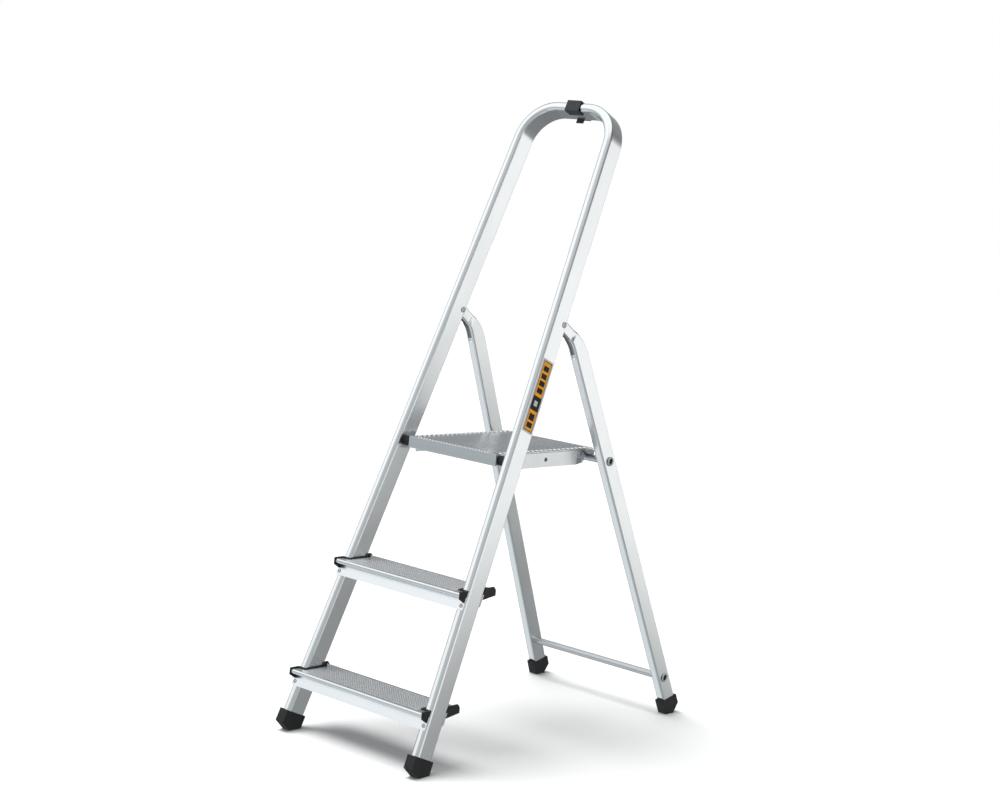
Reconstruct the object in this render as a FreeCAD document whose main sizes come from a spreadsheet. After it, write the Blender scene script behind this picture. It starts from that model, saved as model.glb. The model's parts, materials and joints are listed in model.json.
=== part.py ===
import FreeCAD, Part
import math
import os
import re
import Sketcher
from FreeCAD import Placement, Rotation, Vector

# A household step-ladder with two treads, a platform and a bow handrail. Millimetres, Z up.
# X runs across the ladder, Y from the climber towards the rear. The origin is on the floor, in the
# middle of the footprint. Rail places are given as (along, depth): along the leaning rail from the
# floor line, and depth rearwards from the rail's front face. Leg places use the same pair, with
# depth rearwards from the leg's front face.

SIZES = {
    # front frame
    "front_line": -455.25,          # Y where the plane of the rails' front faces meets the floor
    "floor_width": 385.0,           # outside to outside of the rails at the floor line
    "rail_lean": 21.8,              # degrees from upright
    "rail_taper": 2.55,             # degrees that each rail leans inwards
    "rail_width": 20.0,
    "rail_depth": 48.0,
    "rail_wall": 1.6,
    "rail_corner": 3.2,
    "rail_start": 25.0,             # lower end of the tube, along the rail
    "bow_top": 1463.0,
    "bow_radius": 90.0,
    "fit_gap": 0.2,                 # gap between the rails and what is fitted round them
    "tool_margin": 20.0,            # how far cutting shapes reach past what they cut
    # treads
    "lower_step_height": 129.0,
    "middle_step_height": 357.0,
    "nose_reach": 24.0,             # tread in front of the rails
    "tail_reach": 26.0,             # tread behind the rails
    "nose_height": 10.0,
    "nose_radius": 4.0,
    "tread_plate": 2.5,
    "step_wall": 2.0,
    "skirt_drop": 35.0,
    "step_rivet_rise": 8.0,         # rivets above the skirt's lower edge
    "step_rivet_edge": 6.5,         # rivets in from the rail's outer face
    # plastic end caps of the treads
    "cap_wall": 3.0,
    "cap_lip": 2.5,
    "cap_band": 4.0,
    "cap_proud": 1.5,               # in front of the tread's nose
    "cap_nose_drop": 12.0,
    "cap_point_drop": 21.0,
    "cap_wing_reach": 10.0,         # wing behind the tread
    "cap_wing_drop": 16.0,
    # feet
    "foot_wall": 4.8,
    "foot_side": 1.6,
    "front_foot_top": 48.0,
    "rear_foot_top": 38.5,
    "rear_foot_slant": 15.0,        # degrees that the rear foot's rim falls towards the rear
    "sole_allowance": 0.7,          # cut off at the floor, so that the tapered feet stand flat
    "leg_start": 6.0,
    # rear legs
    "leg_reach": 868.0,             # front rail line to rear leg line, along the floor
    "leg_lean": 27.0,
    "leg_taper": 3.0,
    "leg_width": 20.0,
    "leg_depth": 40.0,
    "leg_wall": 1.6,
    "leg_corner": 3.0,
    "leg_bend": 30.0,
    "bend_outer_radius": 120.0,
    "bend_inner_radius": 60.0,
    "tongue_half": 13.0,            # half the depth of the leg's bent end
    "tongue_thickness": 13.0,
    "tongue_length": 38.0,
    # pivots
    "leg_pivot_along": 975.0,
    "leg_pivot_inset": 8.0,         # in front of the rail's rear face
    "pin_radius": 4.0,
    "running_gap": 0.06,
    "rivet_head_radius": 6.5,
    "rivet_head_height": 1.4,
    "slot_above": 15.0,
    "slot_below": 41.0,
    "slot_gap": 0.8,
    # cross tubes of the rear legs
    "support_drop": 22.4,           # the platform's support tube below its top
    "brace_along": 89.0,
    "tube_radius": 7.5,
    "tube_bore": 5.8,
    "flare_radius": 10.0,
    "flare_length": 3.0,
    "flare_gap": 0.6,
    # platform
    "platform_height": 620.0,
    "platform_side_room": 22.2,     # between its sides and the rails
    "pivot_drop": 12.9,             # its pivot below its top
    "pivot_reach": 14.7,            # in front of its pivot
    "deck_plate": 3.0,
    "fascia_height": 24.0,
    "side_height": 34.0,
    "side_wall": 2.0,
    "corner_radius": 22.0,
    "corner_turn": 36.0,            # degrees that the sides turn in at the rear
    "bushing_radius": 10.5,
    "washer_gap": 0.3,
    "hook_width": 14.0,
    "hook_gap": 0.5,
    "hook_lip": 4.0,
    "release_gap": 1.5,             # room for the support tube to leave the hooks
    "release_angle": 30.0,          # degrees forward of straight down
    "side_rivet_reach": 166.0,
    "side_rivet_drop": 18.0,
    "small_rivet_radius": 2.4,
    "small_head_radius": 4.5,
    "small_head_height": 1.2,
    "rivet_tail": 2.0,
    # trim
    "clip_width": 38.0,
    "clip_offset": 5.0,             # to the right of the middle
    "clip_wall": 2.5,
    "clip_lip": 20.0,               # under the bow's tube, from its front face
    "clip_drop": 7.0,               # tab below the bow's tube
    "clip_tab": 20.0,
    "label_low": 733.0,
    "label_length": 158.0,
    "label_inset": 7.5,
    "label_width": 36.5,
    "label_thickness": 0.3,
}

doc = FreeCAD.newDocument("step_ladder")
sheet = doc.addObject("Spreadsheet::Sheet", "sizes")
for row, (alias, size) in enumerate(SIZES.items(), start=1):
    sheet.set(f"A{row}", str(size))
    sheet.setAlias(f"A{row}", alias)
doc.recompute()

ALONG_X = Rotation(Vector(0, 1, 0), 90)
TOUCHING = 0.01                     # places nearer than this are the same
nodes = []


# ---------------------------------------------------------------- formulas

def formula(text):
    """The text as an expression of the document: every alias gets the sheet's name."""
    return re.sub(r"[a-z_]{4,}", lambda word: "sizes." + word.group(), text)


def number(text):
    value = sheet.evalExpression(formula(text))
    return float(getattr(value, "Value", value))


def bind(thing, **places):
    """Binds properties to formulas. A double underscore stands for a dot."""
    for name, text in places.items():
        thing.setExpression(name.replace("__", "."), formula(text))


def rail_point(along, depth):
    """(Y, Z) formulas of a place on the leaning rail, from the rail's floor line."""
    y = f"(({along}) * sin(rail_lean) + ({depth}) * cos(rail_lean))"
    z = f"(({along}) * cos(rail_lean) - ({depth}) * sin(rail_lean))"
    return y, z


def rail_at(height, depth):
    """(Y, Z) formulas where the line at this depth in the rail reaches this height."""
    return f"(({height}) * tan(rail_lean) + ({depth}) / cos(rail_lean))", height


def leg_point(along, depth):
    """(Y, Z) formulas of a place on the rear leg, from the leg's floor line."""
    y = f"(({depth}) * cos(leg_lean) - ({along}) * sin(leg_lean))"
    z = f"(({along}) * cos(leg_lean) + ({depth}) * sin(leg_lean))"
    return y, z


def along_rail(height):
    """Where the rail's front face reaches this height, measured along the rail."""
    return f"(({height}) / cos(rail_lean))"


def rail_outside(along):
    """Half the width outside to outside of the front frame."""
    return f"(floor_width / 2 - ({along}) * tan(rail_taper))"


LEG_PIVOT = rail_point("leg_pivot_along", "rail_depth - leg_pivot_inset")
DECK_PIVOT = rail_at("(platform_height - pivot_drop)", "rail_depth / 2")
DECK_PIVOT_ALONG = f"({along_rail(DECK_PIVOT[1])} + rail_depth / 2 * tan(rail_lean))"
HALF_WIDTH = f"({rail_outside(DECK_PIVOT_ALONG)} - rail_width - platform_side_room)"
SUPPORT_ALONG = "((platform_height - support_drop) / cos(leg_lean) - leg_depth / 2 * tan(leg_lean))"
SUPPORT = leg_point(SUPPORT_ALONG, "leg_depth / 2")
BRACE = leg_point("brace_along", "leg_depth / 2")


# ---------------------------------------------------------------- sketches and solids

def arc_between(start, end, radius):
    """An arc that turns left (radius above 0) or right on its way from start to end."""
    chord = end - start
    left = Vector(-chord.y, chord.x, 0).normalize()
    rise = math.sqrt(max(radius ** 2 - (chord.Length / 2) ** 2, 0))
    centre = (start + end) / 2 + left * math.copysign(rise, radius)
    first, last = (start, end) if radius > 0 else (end, start)
    angles = [math.atan2(p.y - centre.y, p.x - centre.x) for p in (first, last)]
    return Part.ArcOfCircle(Part.Circle(centre, Vector(0, 0, 1), abs(radius)), *angles)


def fix(sketch, kind, side, end, text):
    """Holds one coordinate of an outline's corner at its formula."""
    if text == "0":
        axis = -2 if kind == "DistanceX" else -1
        sketch.addConstraint(Sketcher.Constraint("PointOnObject", side, end, axis))
        return
    constraint = Sketcher.Constraint(kind, -1, 1, side, end, number(text))
    sketch.setExpression(f"Constraints[{sketch.addConstraint(constraint)}]", formula(text))


def outline(sketch, corners):
    """A closed outline. A corner is (x, y), or (x, y, radius) where an arc starts there."""
    places = [Vector(number(corner[0]), number(corner[1]), 0) for corner in corners]
    ends = []
    for index, corner in enumerate(corners):
        start, end = places[index], places[(index + 1) % len(places)]
        if len(corner) == 2:
            side = sketch.addGeometry(Part.LineSegment(start, end))
            ends.append((side, 1, 2))
            continue
        radius = number(corner[2])
        side = sketch.addGeometry(arc_between(start, end, radius))
        ends.append((side, 1, 2) if radius > 0 else (side, 2, 1))
        size = Sketcher.Constraint("Radius", side, abs(radius))
        size_text = corner[2] if radius > 0 else f"-({corner[2]})"
        sketch.setExpression(f"Constraints[{sketch.addConstraint(size)}]", formula(size_text))
    for index, (x, y) in enumerate(corner[:2] for corner in corners):
        side, start, _ = ends[index]
        before, _, finish = ends[index - 1]
        sketch.addConstraint(Sketcher.Constraint("Coincident", before, finish, side, start))
        fix(sketch, "DistanceX", side, start, x)
        fix(sketch, "DistanceY", side, start, y)


def new_sketch(body, plane, loops, name="outline"):
    sketch = body.newObject("Sketcher::SketchObject", f"{body.Name}_{name}")
    role = {feature.Role: feature for feature in body.Origin.OriginFeatures}
    sketch.AttachmentSupport = [(role[plane], "")]
    sketch.MapMode = "FlatFace"
    for corners in loops:
        outline(sketch, corners)
    return sketch


def padded(name, plane, loops, length, side="One side", back=False):
    body = doc.addObject("PartDesign::Body", name)
    pad = body.newObject("PartDesign::Pad", name + "_pad")
    pad.Profile = new_sketch(body, plane, loops)
    pad.SideType = side
    pad.Reversed = back
    bind(pad, Length=length)
    doc.recompute()
    return body


def pocketed(body, plane, loops, length, name, side="One side"):
    """Cuts the loops into the body, and makes sure that the cut takes something away."""
    before = body.Shape.Volume
    pocket = body.newObject("PartDesign::Pocket", f"{body.Name}_{name}")
    sketch = new_sketch(body, plane, loops, name + "_outline")
    pocket.Profile = sketch
    pocket.SideType = side
    bind(pocket, Length=length)
    doc.recompute()
    if body.Shape.Volume >= before:
        raise ValueError(f"{pocket.Name} cuts nothing")
    return sketch


def filleted(body, radius, chosen):
    base = body.Tip
    names = [f"Edge{i}" for i, edge in enumerate(base.Shape.Edges, start=1) if chosen(edge)]
    fillet = body.newObject("PartDesign::Fillet", body.Name + "_fillet")
    fillet.Base = (base, names)
    bind(fillet, Radius=radius)
    doc.recompute()


def placed(thing, x, y, z, rotation=None):
    thing.Placement = Placement(Vector(0, 0, 0), rotation or Rotation())
    bind(thing, Placement__Base__x=x, Placement__Base__y=f"front_line + {y}", Placement__Base__z=z)
    return thing


def cylinder(name, radius, length, x, y, z):
    """A cylinder along X, whose middle is at x."""
    thing = doc.addObject("Part::Cylinder", name)
    bind(thing, Radius=radius, Height=length)
    return placed(thing, f"({x}) - ({length}) / 2", y, z, ALONG_X)


def box(name, low, size):
    thing = doc.addObject("Part::Box", name)
    bind(thing, Length=size[0], Width=size[1], Height=size[2])
    return placed(thing, *low)


def fused(name, *things):
    fusion = doc.addObject("Part::MultiFuse", name)
    fusion.Shapes = list(things)
    return fusion


def cut(name, base, *tools):
    """The base less the tools."""
    result = doc.addObject("Part::Cut", name)
    result.Base = base
    result.Tool = tools[0] if len(tools) == 1 else fused(name + "_tools", *tools)
    return result


def mirrored(name, source):
    other = doc.addObject("Part::Mirroring", name)
    other.Source = source
    other.Normal = (1, 0, 0)
    return other


def keep(thing, label):
    thing.Label = label
    nodes.append(thing)
    return thing


def keep_pair(thing, label):
    """Keeps the right-hand piece and its mirror image."""
    keep(thing, label + "_right")
    keep(mirrored(thing.Name + "_mirror", thing), label + "_left")


# ---------------------------------------------------------------- front frame

def rail_side(offset, start):
    """Corners up the right-hand side of the bow at this offset inside its outer face."""
    turn = f"(bow_radius - ({offset})) * tan(45 - rail_taper / 2)"
    top = f"(bow_top - ({offset}))"
    corner = f"(floor_width / 2 - {top} * tan(rail_taper) - ({offset}) / cos(rail_taper))"
    foot = f"(floor_width / 2 - ({start}) * tan(rail_taper) - ({offset}) / cos(rail_taper))"
    side = (f"{corner} + {turn} * sin(rail_taper)", f"{top} - {turn} * cos(rail_taper)")
    return [(foot, start), side, (f"{corner} - {turn}", top)]


def bow_band(outer, inner, start):
    """A closed band of the bow between two offsets, from this place along the rails up."""
    outside, inside = rail_side(outer, start), rail_side(inner, start)
    arc = f"bow_radius - ({outer})"
    back = f"-(bow_radius - ({inner}))"

    def left(corner):
        return f"-({corner[0]})", corner[1]
    return [outside[0], (*outside[1], arc), outside[2], (*left(outside[2]), arc),
            left(outside[1]), left(outside[0]), left(inside[0]), (*left(inside[1]), back),
            left(inside[2]), (*inside[2], back), inside[1], inside[0]]


def in_rail_plane(body, lift="0"):
    """Stands a body that is drawn flat up in the plane of the rails."""
    body.Placement = Placement(Vector(0, 0, 0), Rotation(Vector(1, 0, 0), 90))
    bind(body, Placement__Rotation__Angle="90 - rail_lean",
         Placement__Base__y=f"front_line - ({lift}) * cos(rail_lean)",
         Placement__Base__z=f"({lift}) * sin(rail_lean)")
    return body


frame_tube = padded("frame_tube", "XY_Plane", [bow_band("0", "rail_width", "rail_start")],
                    "rail_depth", back=True)
hollow = bow_band("rail_wall", "rail_width - rail_wall", "rail_start - tool_margin")
hollow_sketch = pocketed(frame_tube, "XY_Plane", [hollow], "rail_depth - 2 * rail_wall", "hollow")
bind(hollow_sketch, AttachmentOffset__Base__z="-rail_wall")
doc.recompute()
RAIL_DEPTH, RAIL_START = number("rail_depth"), number("rail_start")


def long_edge(edge):
    """An edge along the outside of the bent tube, on its front or its rear face."""
    heights = [vertex.Point.z for vertex in edge.Vertexes]
    at_foot = all(abs(vertex.Point.y - RAIL_START) < TOUCHING for vertex in edge.Vertexes)
    flat = max(heights) - min(heights) < TOUCHING
    return flat and not at_foot and min(abs(heights[0]), abs(heights[0] + RAIL_DEPTH)) < TOUCHING


filleted(frame_tube, "rail_corner", long_edge)
in_rail_plane(frame_tube)

room = bow_band("-fit_gap", "rail_width + fit_gap", "rail_start - fit_gap")
rail_space = padded("rail_space", "XY_Plane", [room], "rail_depth + 2 * fit_gap", back=True)
in_rail_plane(rail_space, "fit_gap")

# The rear wall is slotted at each leg pivot, along the rail's taper, so that the leg can fold into it.
def slot_tool(name, sign):
    half_width, margin = "(tongue_thickness / 2 + slot_gap)", "rail_wall * 2"
    low, high = "leg_pivot_along - slot_below", "leg_pivot_along + slot_above"
    at_low, at_high = [f"{sign}({rail_outside(along)} - rail_width / 2)" for along in (low, high)]
    corners = [(f"{at_low} - {half_width}", low), (f"{at_low} + {half_width}", low),
               (f"{at_high} + {half_width}", high), (f"{at_high} - {half_width}", high)]
    body = padded(name, "XY_Plane", [corners], f"{margin} * 2")
    return in_rail_plane(body, f"-rail_depth - {margin}")


PIN_HOLE = "pin_radius + running_gap"
deck_drill_length = f"2 * ({rail_outside(DECK_PIVOT_ALONG)} - rail_width / 2)"
frame_tools = [slot_tool("slot_right", ""), slot_tool("slot_left", "-"),
               cylinder("pin_drill", PIN_HOLE, "floor_width", "0", *LEG_PIVOT),
               cylinder("deck_drill", PIN_HOLE, deck_drill_length, "0", *DECK_PIVOT)]


def beside_rail(name, corners, thickness, inset):
    """A plate along the right-hand rail, its inner side at this inset from the rail's outer face."""
    body = padded(name, "YZ_Plane", [corners], thickness)
    lean = math.radians(number("rail_lean"))
    body.Placement = Placement(Vector(0, 0, 0), Rotation(Vector(0, math.cos(lean), -math.sin(lean)), 1))
    bind(body, Placement__Rotation__Angle="-rail_taper", Placement__Base__y="front_line",
         Placement__Base__x=f"floor_width / 2 - ({inset})")
    return body


# ---------------------------------------------------------------- treads and their end caps

def step_section(top):
    """Outline and two hollow chambers of the tread extrusion, seen along X, with its two ends in Y."""
    nose = f"(({top}) * tan(rail_lean) - nose_reach)"
    tail = f"(({top}) * tan(rail_lean) + rail_depth / cos(rail_lean) + tail_reach)"
    under, low = f"({top} - nose_height)", f"({top} - skirt_drop)"
    plate, floor = f"({top} - tread_plate)", f"({under} + step_wall)"
    front, rear = "-fit_gap", "rail_depth + fit_gap"
    front_out, rear_out = "-(fit_gap + step_wall)", "rail_depth + fit_gap + step_wall"
    body = [(nose, top), (nose, under), rail_at(under, front_out), rail_at(low, front_out),
            rail_at(low, front), rail_at(plate, front), rail_at(plate, rear), rail_at(low, rear),
            rail_at(low, rear_out), rail_at(under, rear_out), (tail, under), (tail, top)]
    nose_room = [(f"{nose} + step_wall", plate), (f"{nose} + step_wall", floor),
                 rail_at(floor, front_out), rail_at(plate, front_out)]
    tail_room = [rail_at(plate, rear_out), rail_at(floor, rear_out),
                 (f"{tail} - step_wall", floor), (f"{tail} - step_wall", plate)]
    return [body, nose_room, tail_room], nose, tail


def skirt_rivets(name, top):
    """Four rivets through a tread's skirts into the rails, and the drills for them."""
    low = f"({top} - skirt_drop + step_rivet_rise)"
    shank_length = "step_wall + rail_wall + rivet_tail"
    lean = math.radians(number("rail_lean"))
    pieces, drills = [], []
    for face, turn, depth in (("front", 1, "-(fit_gap + step_wall)"),
                              ("rear", -1, "(rail_depth + fit_gap + step_wall)")):
        inwards = Rotation(Vector(0, 0, 1), Vector(0, turn * math.cos(lean), -turn * math.sin(lean)))
        place = rail_at(low, depth)
        proud = (f"{place[0]} - {turn} * small_head_height * cos(rail_lean)",
                 f"{place[1]} + {turn} * small_head_height * sin(rail_lean)")
        for side in ("", "-"):
            label = f"{name}_{face}{'_left' if side else '_right'}"
            x = f"{side}({rail_outside(along_rail(low))} - step_rivet_edge)"
            shank, drill, head = [doc.addObject("Part::Cylinder", f"{label}_{piece}")
                                  for piece in ("shank", "drill", "head")]
            bind(shank, Radius="small_rivet_radius", Height=shank_length)
            bind(drill, Radius="small_rivet_radius + running_gap", Height=shank_length)
            bind(head, Radius="small_head_radius", Height="small_head_height")
            placed(shank, x, *place, inwards)
            placed(drill, x, *place, inwards)
            placed(head, x, *proud, inwards)
            pieces.append(fused(label, shank, head))
            drills.append(drill)
    group = doc.addObject("Part::Compound", name + "_group")
    group.Links = pieces
    keep(group, name)
    return drills


def slab(low, high):
    """A long upright rectangle seen along X, between two heights."""
    return [("0", low), ("leg_reach / 2", low), ("leg_reach / 2", high), ("0", high)]


rail_beyond = beside_rail("rail_beyond", slab("0", "middle_step_height + tool_margin"), "floor_width", "0")
rail_beyond_left = mirrored("rail_beyond_left", rail_beyond)


def make_step(name, top, drills):
    loops, nose, tail = step_section(top)
    raw = padded(name + "_raw", "YZ_Plane", loops, "floor_width", side="Symmetric")
    overhangs = [number(nose), number(tail)]

    def rounded(edge):
        ends = [vertex.Point for vertex in edge.Vertexes]
        across = len(ends) == 2 and ends[0].x * ends[1].x < 0
        return across and min(abs(ends[0].y - place) for place in overhangs) < TOUCHING
    filleted(raw, "nose_radius", rounded)
    placed(raw, "0", "0", "0")
    cap_room = beside_rail(name + "_cap_room", slab(f"{top} - nose_height - fit_gap", f"{top} + tool_margin"),
                           "cap_wall + tool_margin", "cap_wall + fit_gap")
    keep(cut(name + "_cut", raw, rail_space, rail_beyond, rail_beyond_left, cap_room,
             mirrored(name + "_cap_room_left", cap_room), *drills), name)


def make_step_cap(name, top):
    """The right-hand cap: a side wall over both overhangs, and a band round the rail."""
    _, nose, tail = step_section(top)
    under, point, lip = f"({top} - nose_height)", f"({top} - cap_point_drop)", f"({top} + cap_lip)"
    front_skirt, rear_skirt = "-(step_wall + 3 * fit_gap)", "rail_depth + step_wall + 3 * fit_gap"
    wing = f"{tail} + cap_wing_reach"
    profile = [(f"{nose} - cap_proud", f"{top} - cap_nose_drop"), rail_at(point, front_skirt),
               rail_at(under, front_skirt), rail_at(under, rear_skirt), rail_at(point, rear_skirt),
               (wing, f"{top} - cap_wing_drop"), (wing, f"{top} - nose_radius"),
               (f"{tail} + nose_radius", lip), (f"{nose} - cap_proud", lip)]
    wall = beside_rail(name + "_wall", profile, "cap_wall", "cap_wall")
    bottom, reach = f"{top} + fit_gap", "(rail_width + cap_band - cap_wall / 2)"
    section = [rail_at(bottom, "-cap_band"), rail_at(bottom, "rail_depth + cap_band"),
               rail_at(lip, "rail_depth + cap_band"), rail_at(lip, "-cap_band")]
    band = padded(name + "_band", "YZ_Plane", [section], reach)
    placed(band, f"{rail_outside(along_rail(top))} - cap_wall / 2 - {reach}", "0", "0")
    keep_pair(cut(name + "_cut", fused(name + "_both", wall, band), rail_space), name)


for step, top in (("lower_step", "lower_step_height"), ("middle_step", "middle_step_height")):
    drills = skirt_rivets(step + "_rivets", top)
    make_step(step, top, drills)
    make_step_cap(step + "_cap", top)
    frame_tools += drills

keep(cut("front_frame_cut", frame_tube, *frame_tools), "front_frame")


# ---------------------------------------------------------------- rear legs

PIVOT_ALONG = (f"(((leg_reach - {LEG_PIVOT[0]}) * sin(leg_lean) + {LEG_PIVOT[1]} * cos(leg_lean))"
               " / cos(leg_taper))")
PIVOT_DEPTH = f"({LEG_PIVOT[1]} * sin(leg_lean) - (leg_reach - {LEG_PIVOT[0]}) * cos(leg_lean))"
# X of the leg's middle at its floor line. At the pivot it is in the middle of the rail.
LEG_MIDDLE = f"({rail_outside('leg_pivot_along')} - rail_width / 2 + {PIVOT_ALONG} * sin(leg_taper))"


def leg_outside(along):
    return f"({LEG_MIDDLE} + leg_width / 2 - ({along}) * tan(leg_taper))"


def bent_end(along, across):
    """A place on the leg's bent end, measured from the pivot."""
    return leg_point(f"{PIVOT_ALONG} + ({along}) * cos(leg_bend) + ({across}) * sin(leg_bend)",
                     f"{PIVOT_DEPTH} - ({along}) * sin(leg_bend) + ({across}) * cos(leg_bend)")


def leg_outline(inset, start, stop=None):
    """Side outline of the leg, drawn in by inset. It ends round the pivot, or square at stop."""
    half = f"(tongue_half - ({inset}))"
    near, far = f"({inset})", f"(leg_depth - ({inset}))"
    outer_radius, inner_radius = f"(bend_outer_radius - ({inset}))", f"(bend_inner_radius + ({inset}))"
    outer = f"({PIVOT_ALONG} + ({half} - ({far} - {PIVOT_DEPTH}) * cos(leg_bend)) / sin(leg_bend))"
    inner = f"({PIVOT_ALONG} + (({PIVOT_DEPTH} - {near}) * cos(leg_bend) - {half}) / sin(leg_bend))"
    outer_turn = f"({outer_radius} * tan(leg_bend / 2))"
    inner_turn = f"({inner_radius} * tan(leg_bend / 2))"
    corners = [leg_point(start, near), leg_point(start, far),
               (*leg_point(f"{outer} - {outer_turn}", far), outer_radius),
               leg_point(f"{outer} + {outer_turn} * cos(leg_bend)",
                         f"{far} - {outer_turn} * sin(leg_bend)")]
    if stop:
        corners += [bent_end(stop, half), bent_end(stop, f"-{half}")]
    else:
        corners += [(*bent_end("0", half), half), (*bent_end(half, "0"), half), bent_end("0", f"-{half}")]
    corners += [(*leg_point(f"{inner} + {inner_turn} * cos(leg_bend)",
                            f"{near} - {inner_turn} * sin(leg_bend)"), f"-{inner_radius}"),
                leg_point(f"{inner} - {inner_turn}", near)]
    return corners


def on_leg(body, outwards="0"):
    """Leans a piece that is drawn upright with the right-hand leg, from its middle or further out."""
    lean = math.radians(number("leg_lean"))
    body.Placement = Placement(Vector(0, 0, 0), Rotation(Vector(0, math.cos(lean), math.sin(lean)), 1))
    bind(body, Placement__Rotation__Angle="-leg_taper", Placement__Base__y="front_line + leg_reach",
         Placement__Base__x=f"{LEG_MIDDLE} + {outwards}")
    return body


def from_leg(place):
    return f"leg_reach + {place[0]}", place[1]


leg_tube = padded("leg_tube", "YZ_Plane", [leg_outline("0", "leg_start")], "leg_width", side="Symmetric")
LEG_HALF = number("leg_width / 2")
LEG_START = number("leg_start")
UP_LEG = Vector(0, *[number(place) for place in leg_point("1", "0")])
CREASE = number(f"{PIVOT_ALONG} - tongue_length - bend_inner_radius / 2")


def leg_edge(edge):
    """A long edge of the straight part of the leg, above its square foot."""
    ends = [vertex.Point for vertex in edge.Vertexes]
    on_side = len(ends) == 2 and all(abs(abs(point.x) - LEG_HALF) < TOUCHING for point in ends)
    heights = [point.dot(UP_LEG) for point in ends]
    return on_side and ends[0].x * ends[1].x > 0 and max(heights) > LEG_START + 1 and min(heights) < CREASE


filleted(leg_tube, "leg_corner", leg_edge)
leg_hollow = leg_outline("leg_wall", "leg_start - tool_margin", "-tongue_length - leg_depth / 4")
pocketed(leg_tube, "YZ_Plane", [leg_hollow], "leg_width - 2 * leg_wall", "hollow", side="Symmetric")
on_leg(leg_tube)


def crimp_tool(name, inner_side):
    """Takes one side off the leg's end, down to the thickness of the tongue."""
    past_end = "tongue_half * 2"
    corners = [bent_end("-tongue_length", f"-{past_end}"), bent_end("-tongue_length", past_end),
               bent_end(past_end, past_end), bent_end(past_end, f"-{past_end}")]
    body = padded(name, "YZ_Plane", [corners], "leg_width / 2", back=inner_side)
    return on_leg(body, "-tongue_thickness / 2" if inner_side else "tongue_thickness / 2")


def drill_right(name, radius, place):
    """A hole along X through the right-hand side only."""
    return cylinder(name, radius, "floor_width / 2", "floor_width / 4 + rail_width", *place)


keep_pair(cut("rear_leg_cut", leg_tube, crimp_tool("crimp_outer", False), crimp_tool("crimp_inner", True),
              drill_right("leg_pin_hole", PIN_HOLE, LEG_PIVOT),
              drill_right("leg_support_hole", "tube_radius + running_gap", from_leg(SUPPORT)),
              drill_right("leg_brace_hole", "tube_radius + running_gap", from_leg(BRACE))), "rear_leg")


def cross_tube(label, place, along):
    """A tube through both legs, flared at its ends outside them."""
    y, z = from_leg(place)
    half = f"({leg_outside(along)} + flare_gap)"
    tube = cylinder(label + "_wall", "tube_radius", f"2 * {half} + 2 * flare_length", "0", y, z)
    flares = [cylinder(f"{label}_flare_{side}", "flare_radius", "flare_length",
                       f"{sign}({half} + flare_length / 2)", y, z)
              for side, sign in (("right", ""), ("left", "-"))]
    bore = cylinder(label + "_bore", "tube_bore", f"2 * {half} + 4 * flare_length", "0", y, z)
    keep(cut(label + "_cut", fused(label + "_outside", tube, *flares), bore), label)


cross_tube("platform_support_tube", SUPPORT, SUPPORT_ALONG)
cross_tube("brace_tube", BRACE, "brace_along")


# ---------------------------------------------------------------- feet

def foot_profile(place, depth, middle, edge, rim_front, rim_rear):
    """Side outline of a foot. Its sole falls from both edges to the middle."""
    return [place(f"{edge} - sole_allowance", "-foot_wall"),
            place(f"{middle} - sole_allowance", f"{depth} / 2"),
            place(f"{edge} - sole_allowance", f"{depth} + foot_wall"),
            place(rim_rear, f"{depth} + foot_wall"), place(rim_front, "-foot_wall")]


# The rear half of a front sole, and the front half of a rear one, lie flat on the floor.
front_profile = foot_profile(rail_point, "rail_depth", "rail_depth / 2 * tan(rail_lean)",
                             "(rail_depth + foot_wall) * tan(rail_lean)", "front_foot_top", "front_foot_top")
rear_profile = foot_profile(leg_point, "leg_depth", "-leg_depth / 2 * tan(leg_lean)",
                            "foot_wall * tan(leg_lean)", "rear_foot_top",
                            "rear_foot_top - (leg_depth + 2 * foot_wall) * tan(rear_foot_slant)")
floor_space = box("floor_space", ("-floor_width", "-leg_reach / 2", "-tool_margin"),
                  ("floor_width * 2", "leg_reach * 2", "tool_margin"))
front_block = beside_rail("front_foot_block", front_profile, "rail_width + 2 * foot_side",
                          "rail_width + foot_side")
keep_pair(cut("front_foot_cut", front_block, rail_space, floor_space), "front_foot")

hole_low, hole_high = "leg_start - fit_gap", "rear_foot_top * 2"
leg_hole = [leg_point(hole_low, "-fit_gap"), leg_point(hole_low, "leg_depth + fit_gap"),
            leg_point(hole_high, "leg_depth + fit_gap"), leg_point(hole_high, "-fit_gap")]
leg_space = on_leg(padded("leg_space", "YZ_Plane", [leg_hole], "leg_width + 2 * fit_gap", side="Symmetric"))
rear_block = on_leg(padded("rear_foot_block", "YZ_Plane", [rear_profile], "leg_width + 2 * foot_side",
                           side="Symmetric"))
keep_pair(cut("rear_foot_cut", rear_block, leg_space, floor_space), "rear_foot")


# ---------------------------------------------------------------- platform

tube_y, tube_z = from_leg(SUPPORT)
DECK_FRONT, DECK_REAR = f"({DECK_PIVOT[0]} - pivot_reach)", f"({tube_y})"
UNDER_DECK = "(platform_height - deck_plate)"
SIDE_LOW = "(platform_height - side_height)"
FASCIA, FASCIA_LOW = f"({DECK_FRONT} + deck_plate)", "(platform_height - fascia_height)"

deck_section = [(DECK_FRONT, "platform_height"), (DECK_FRONT, FASCIA_LOW), (FASCIA, FASCIA_LOW),
                (FASCIA, UNDER_DECK), (DECK_REAR, UNDER_DECK), (DECK_REAR, "platform_height")]
deck = padded("deck_body", "YZ_Plane", [deck_section], f"2 * {HALF_WIDTH}", side="Symmetric")
keep(placed(deck, "0", "0", "0"), "platform_deck")

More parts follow.
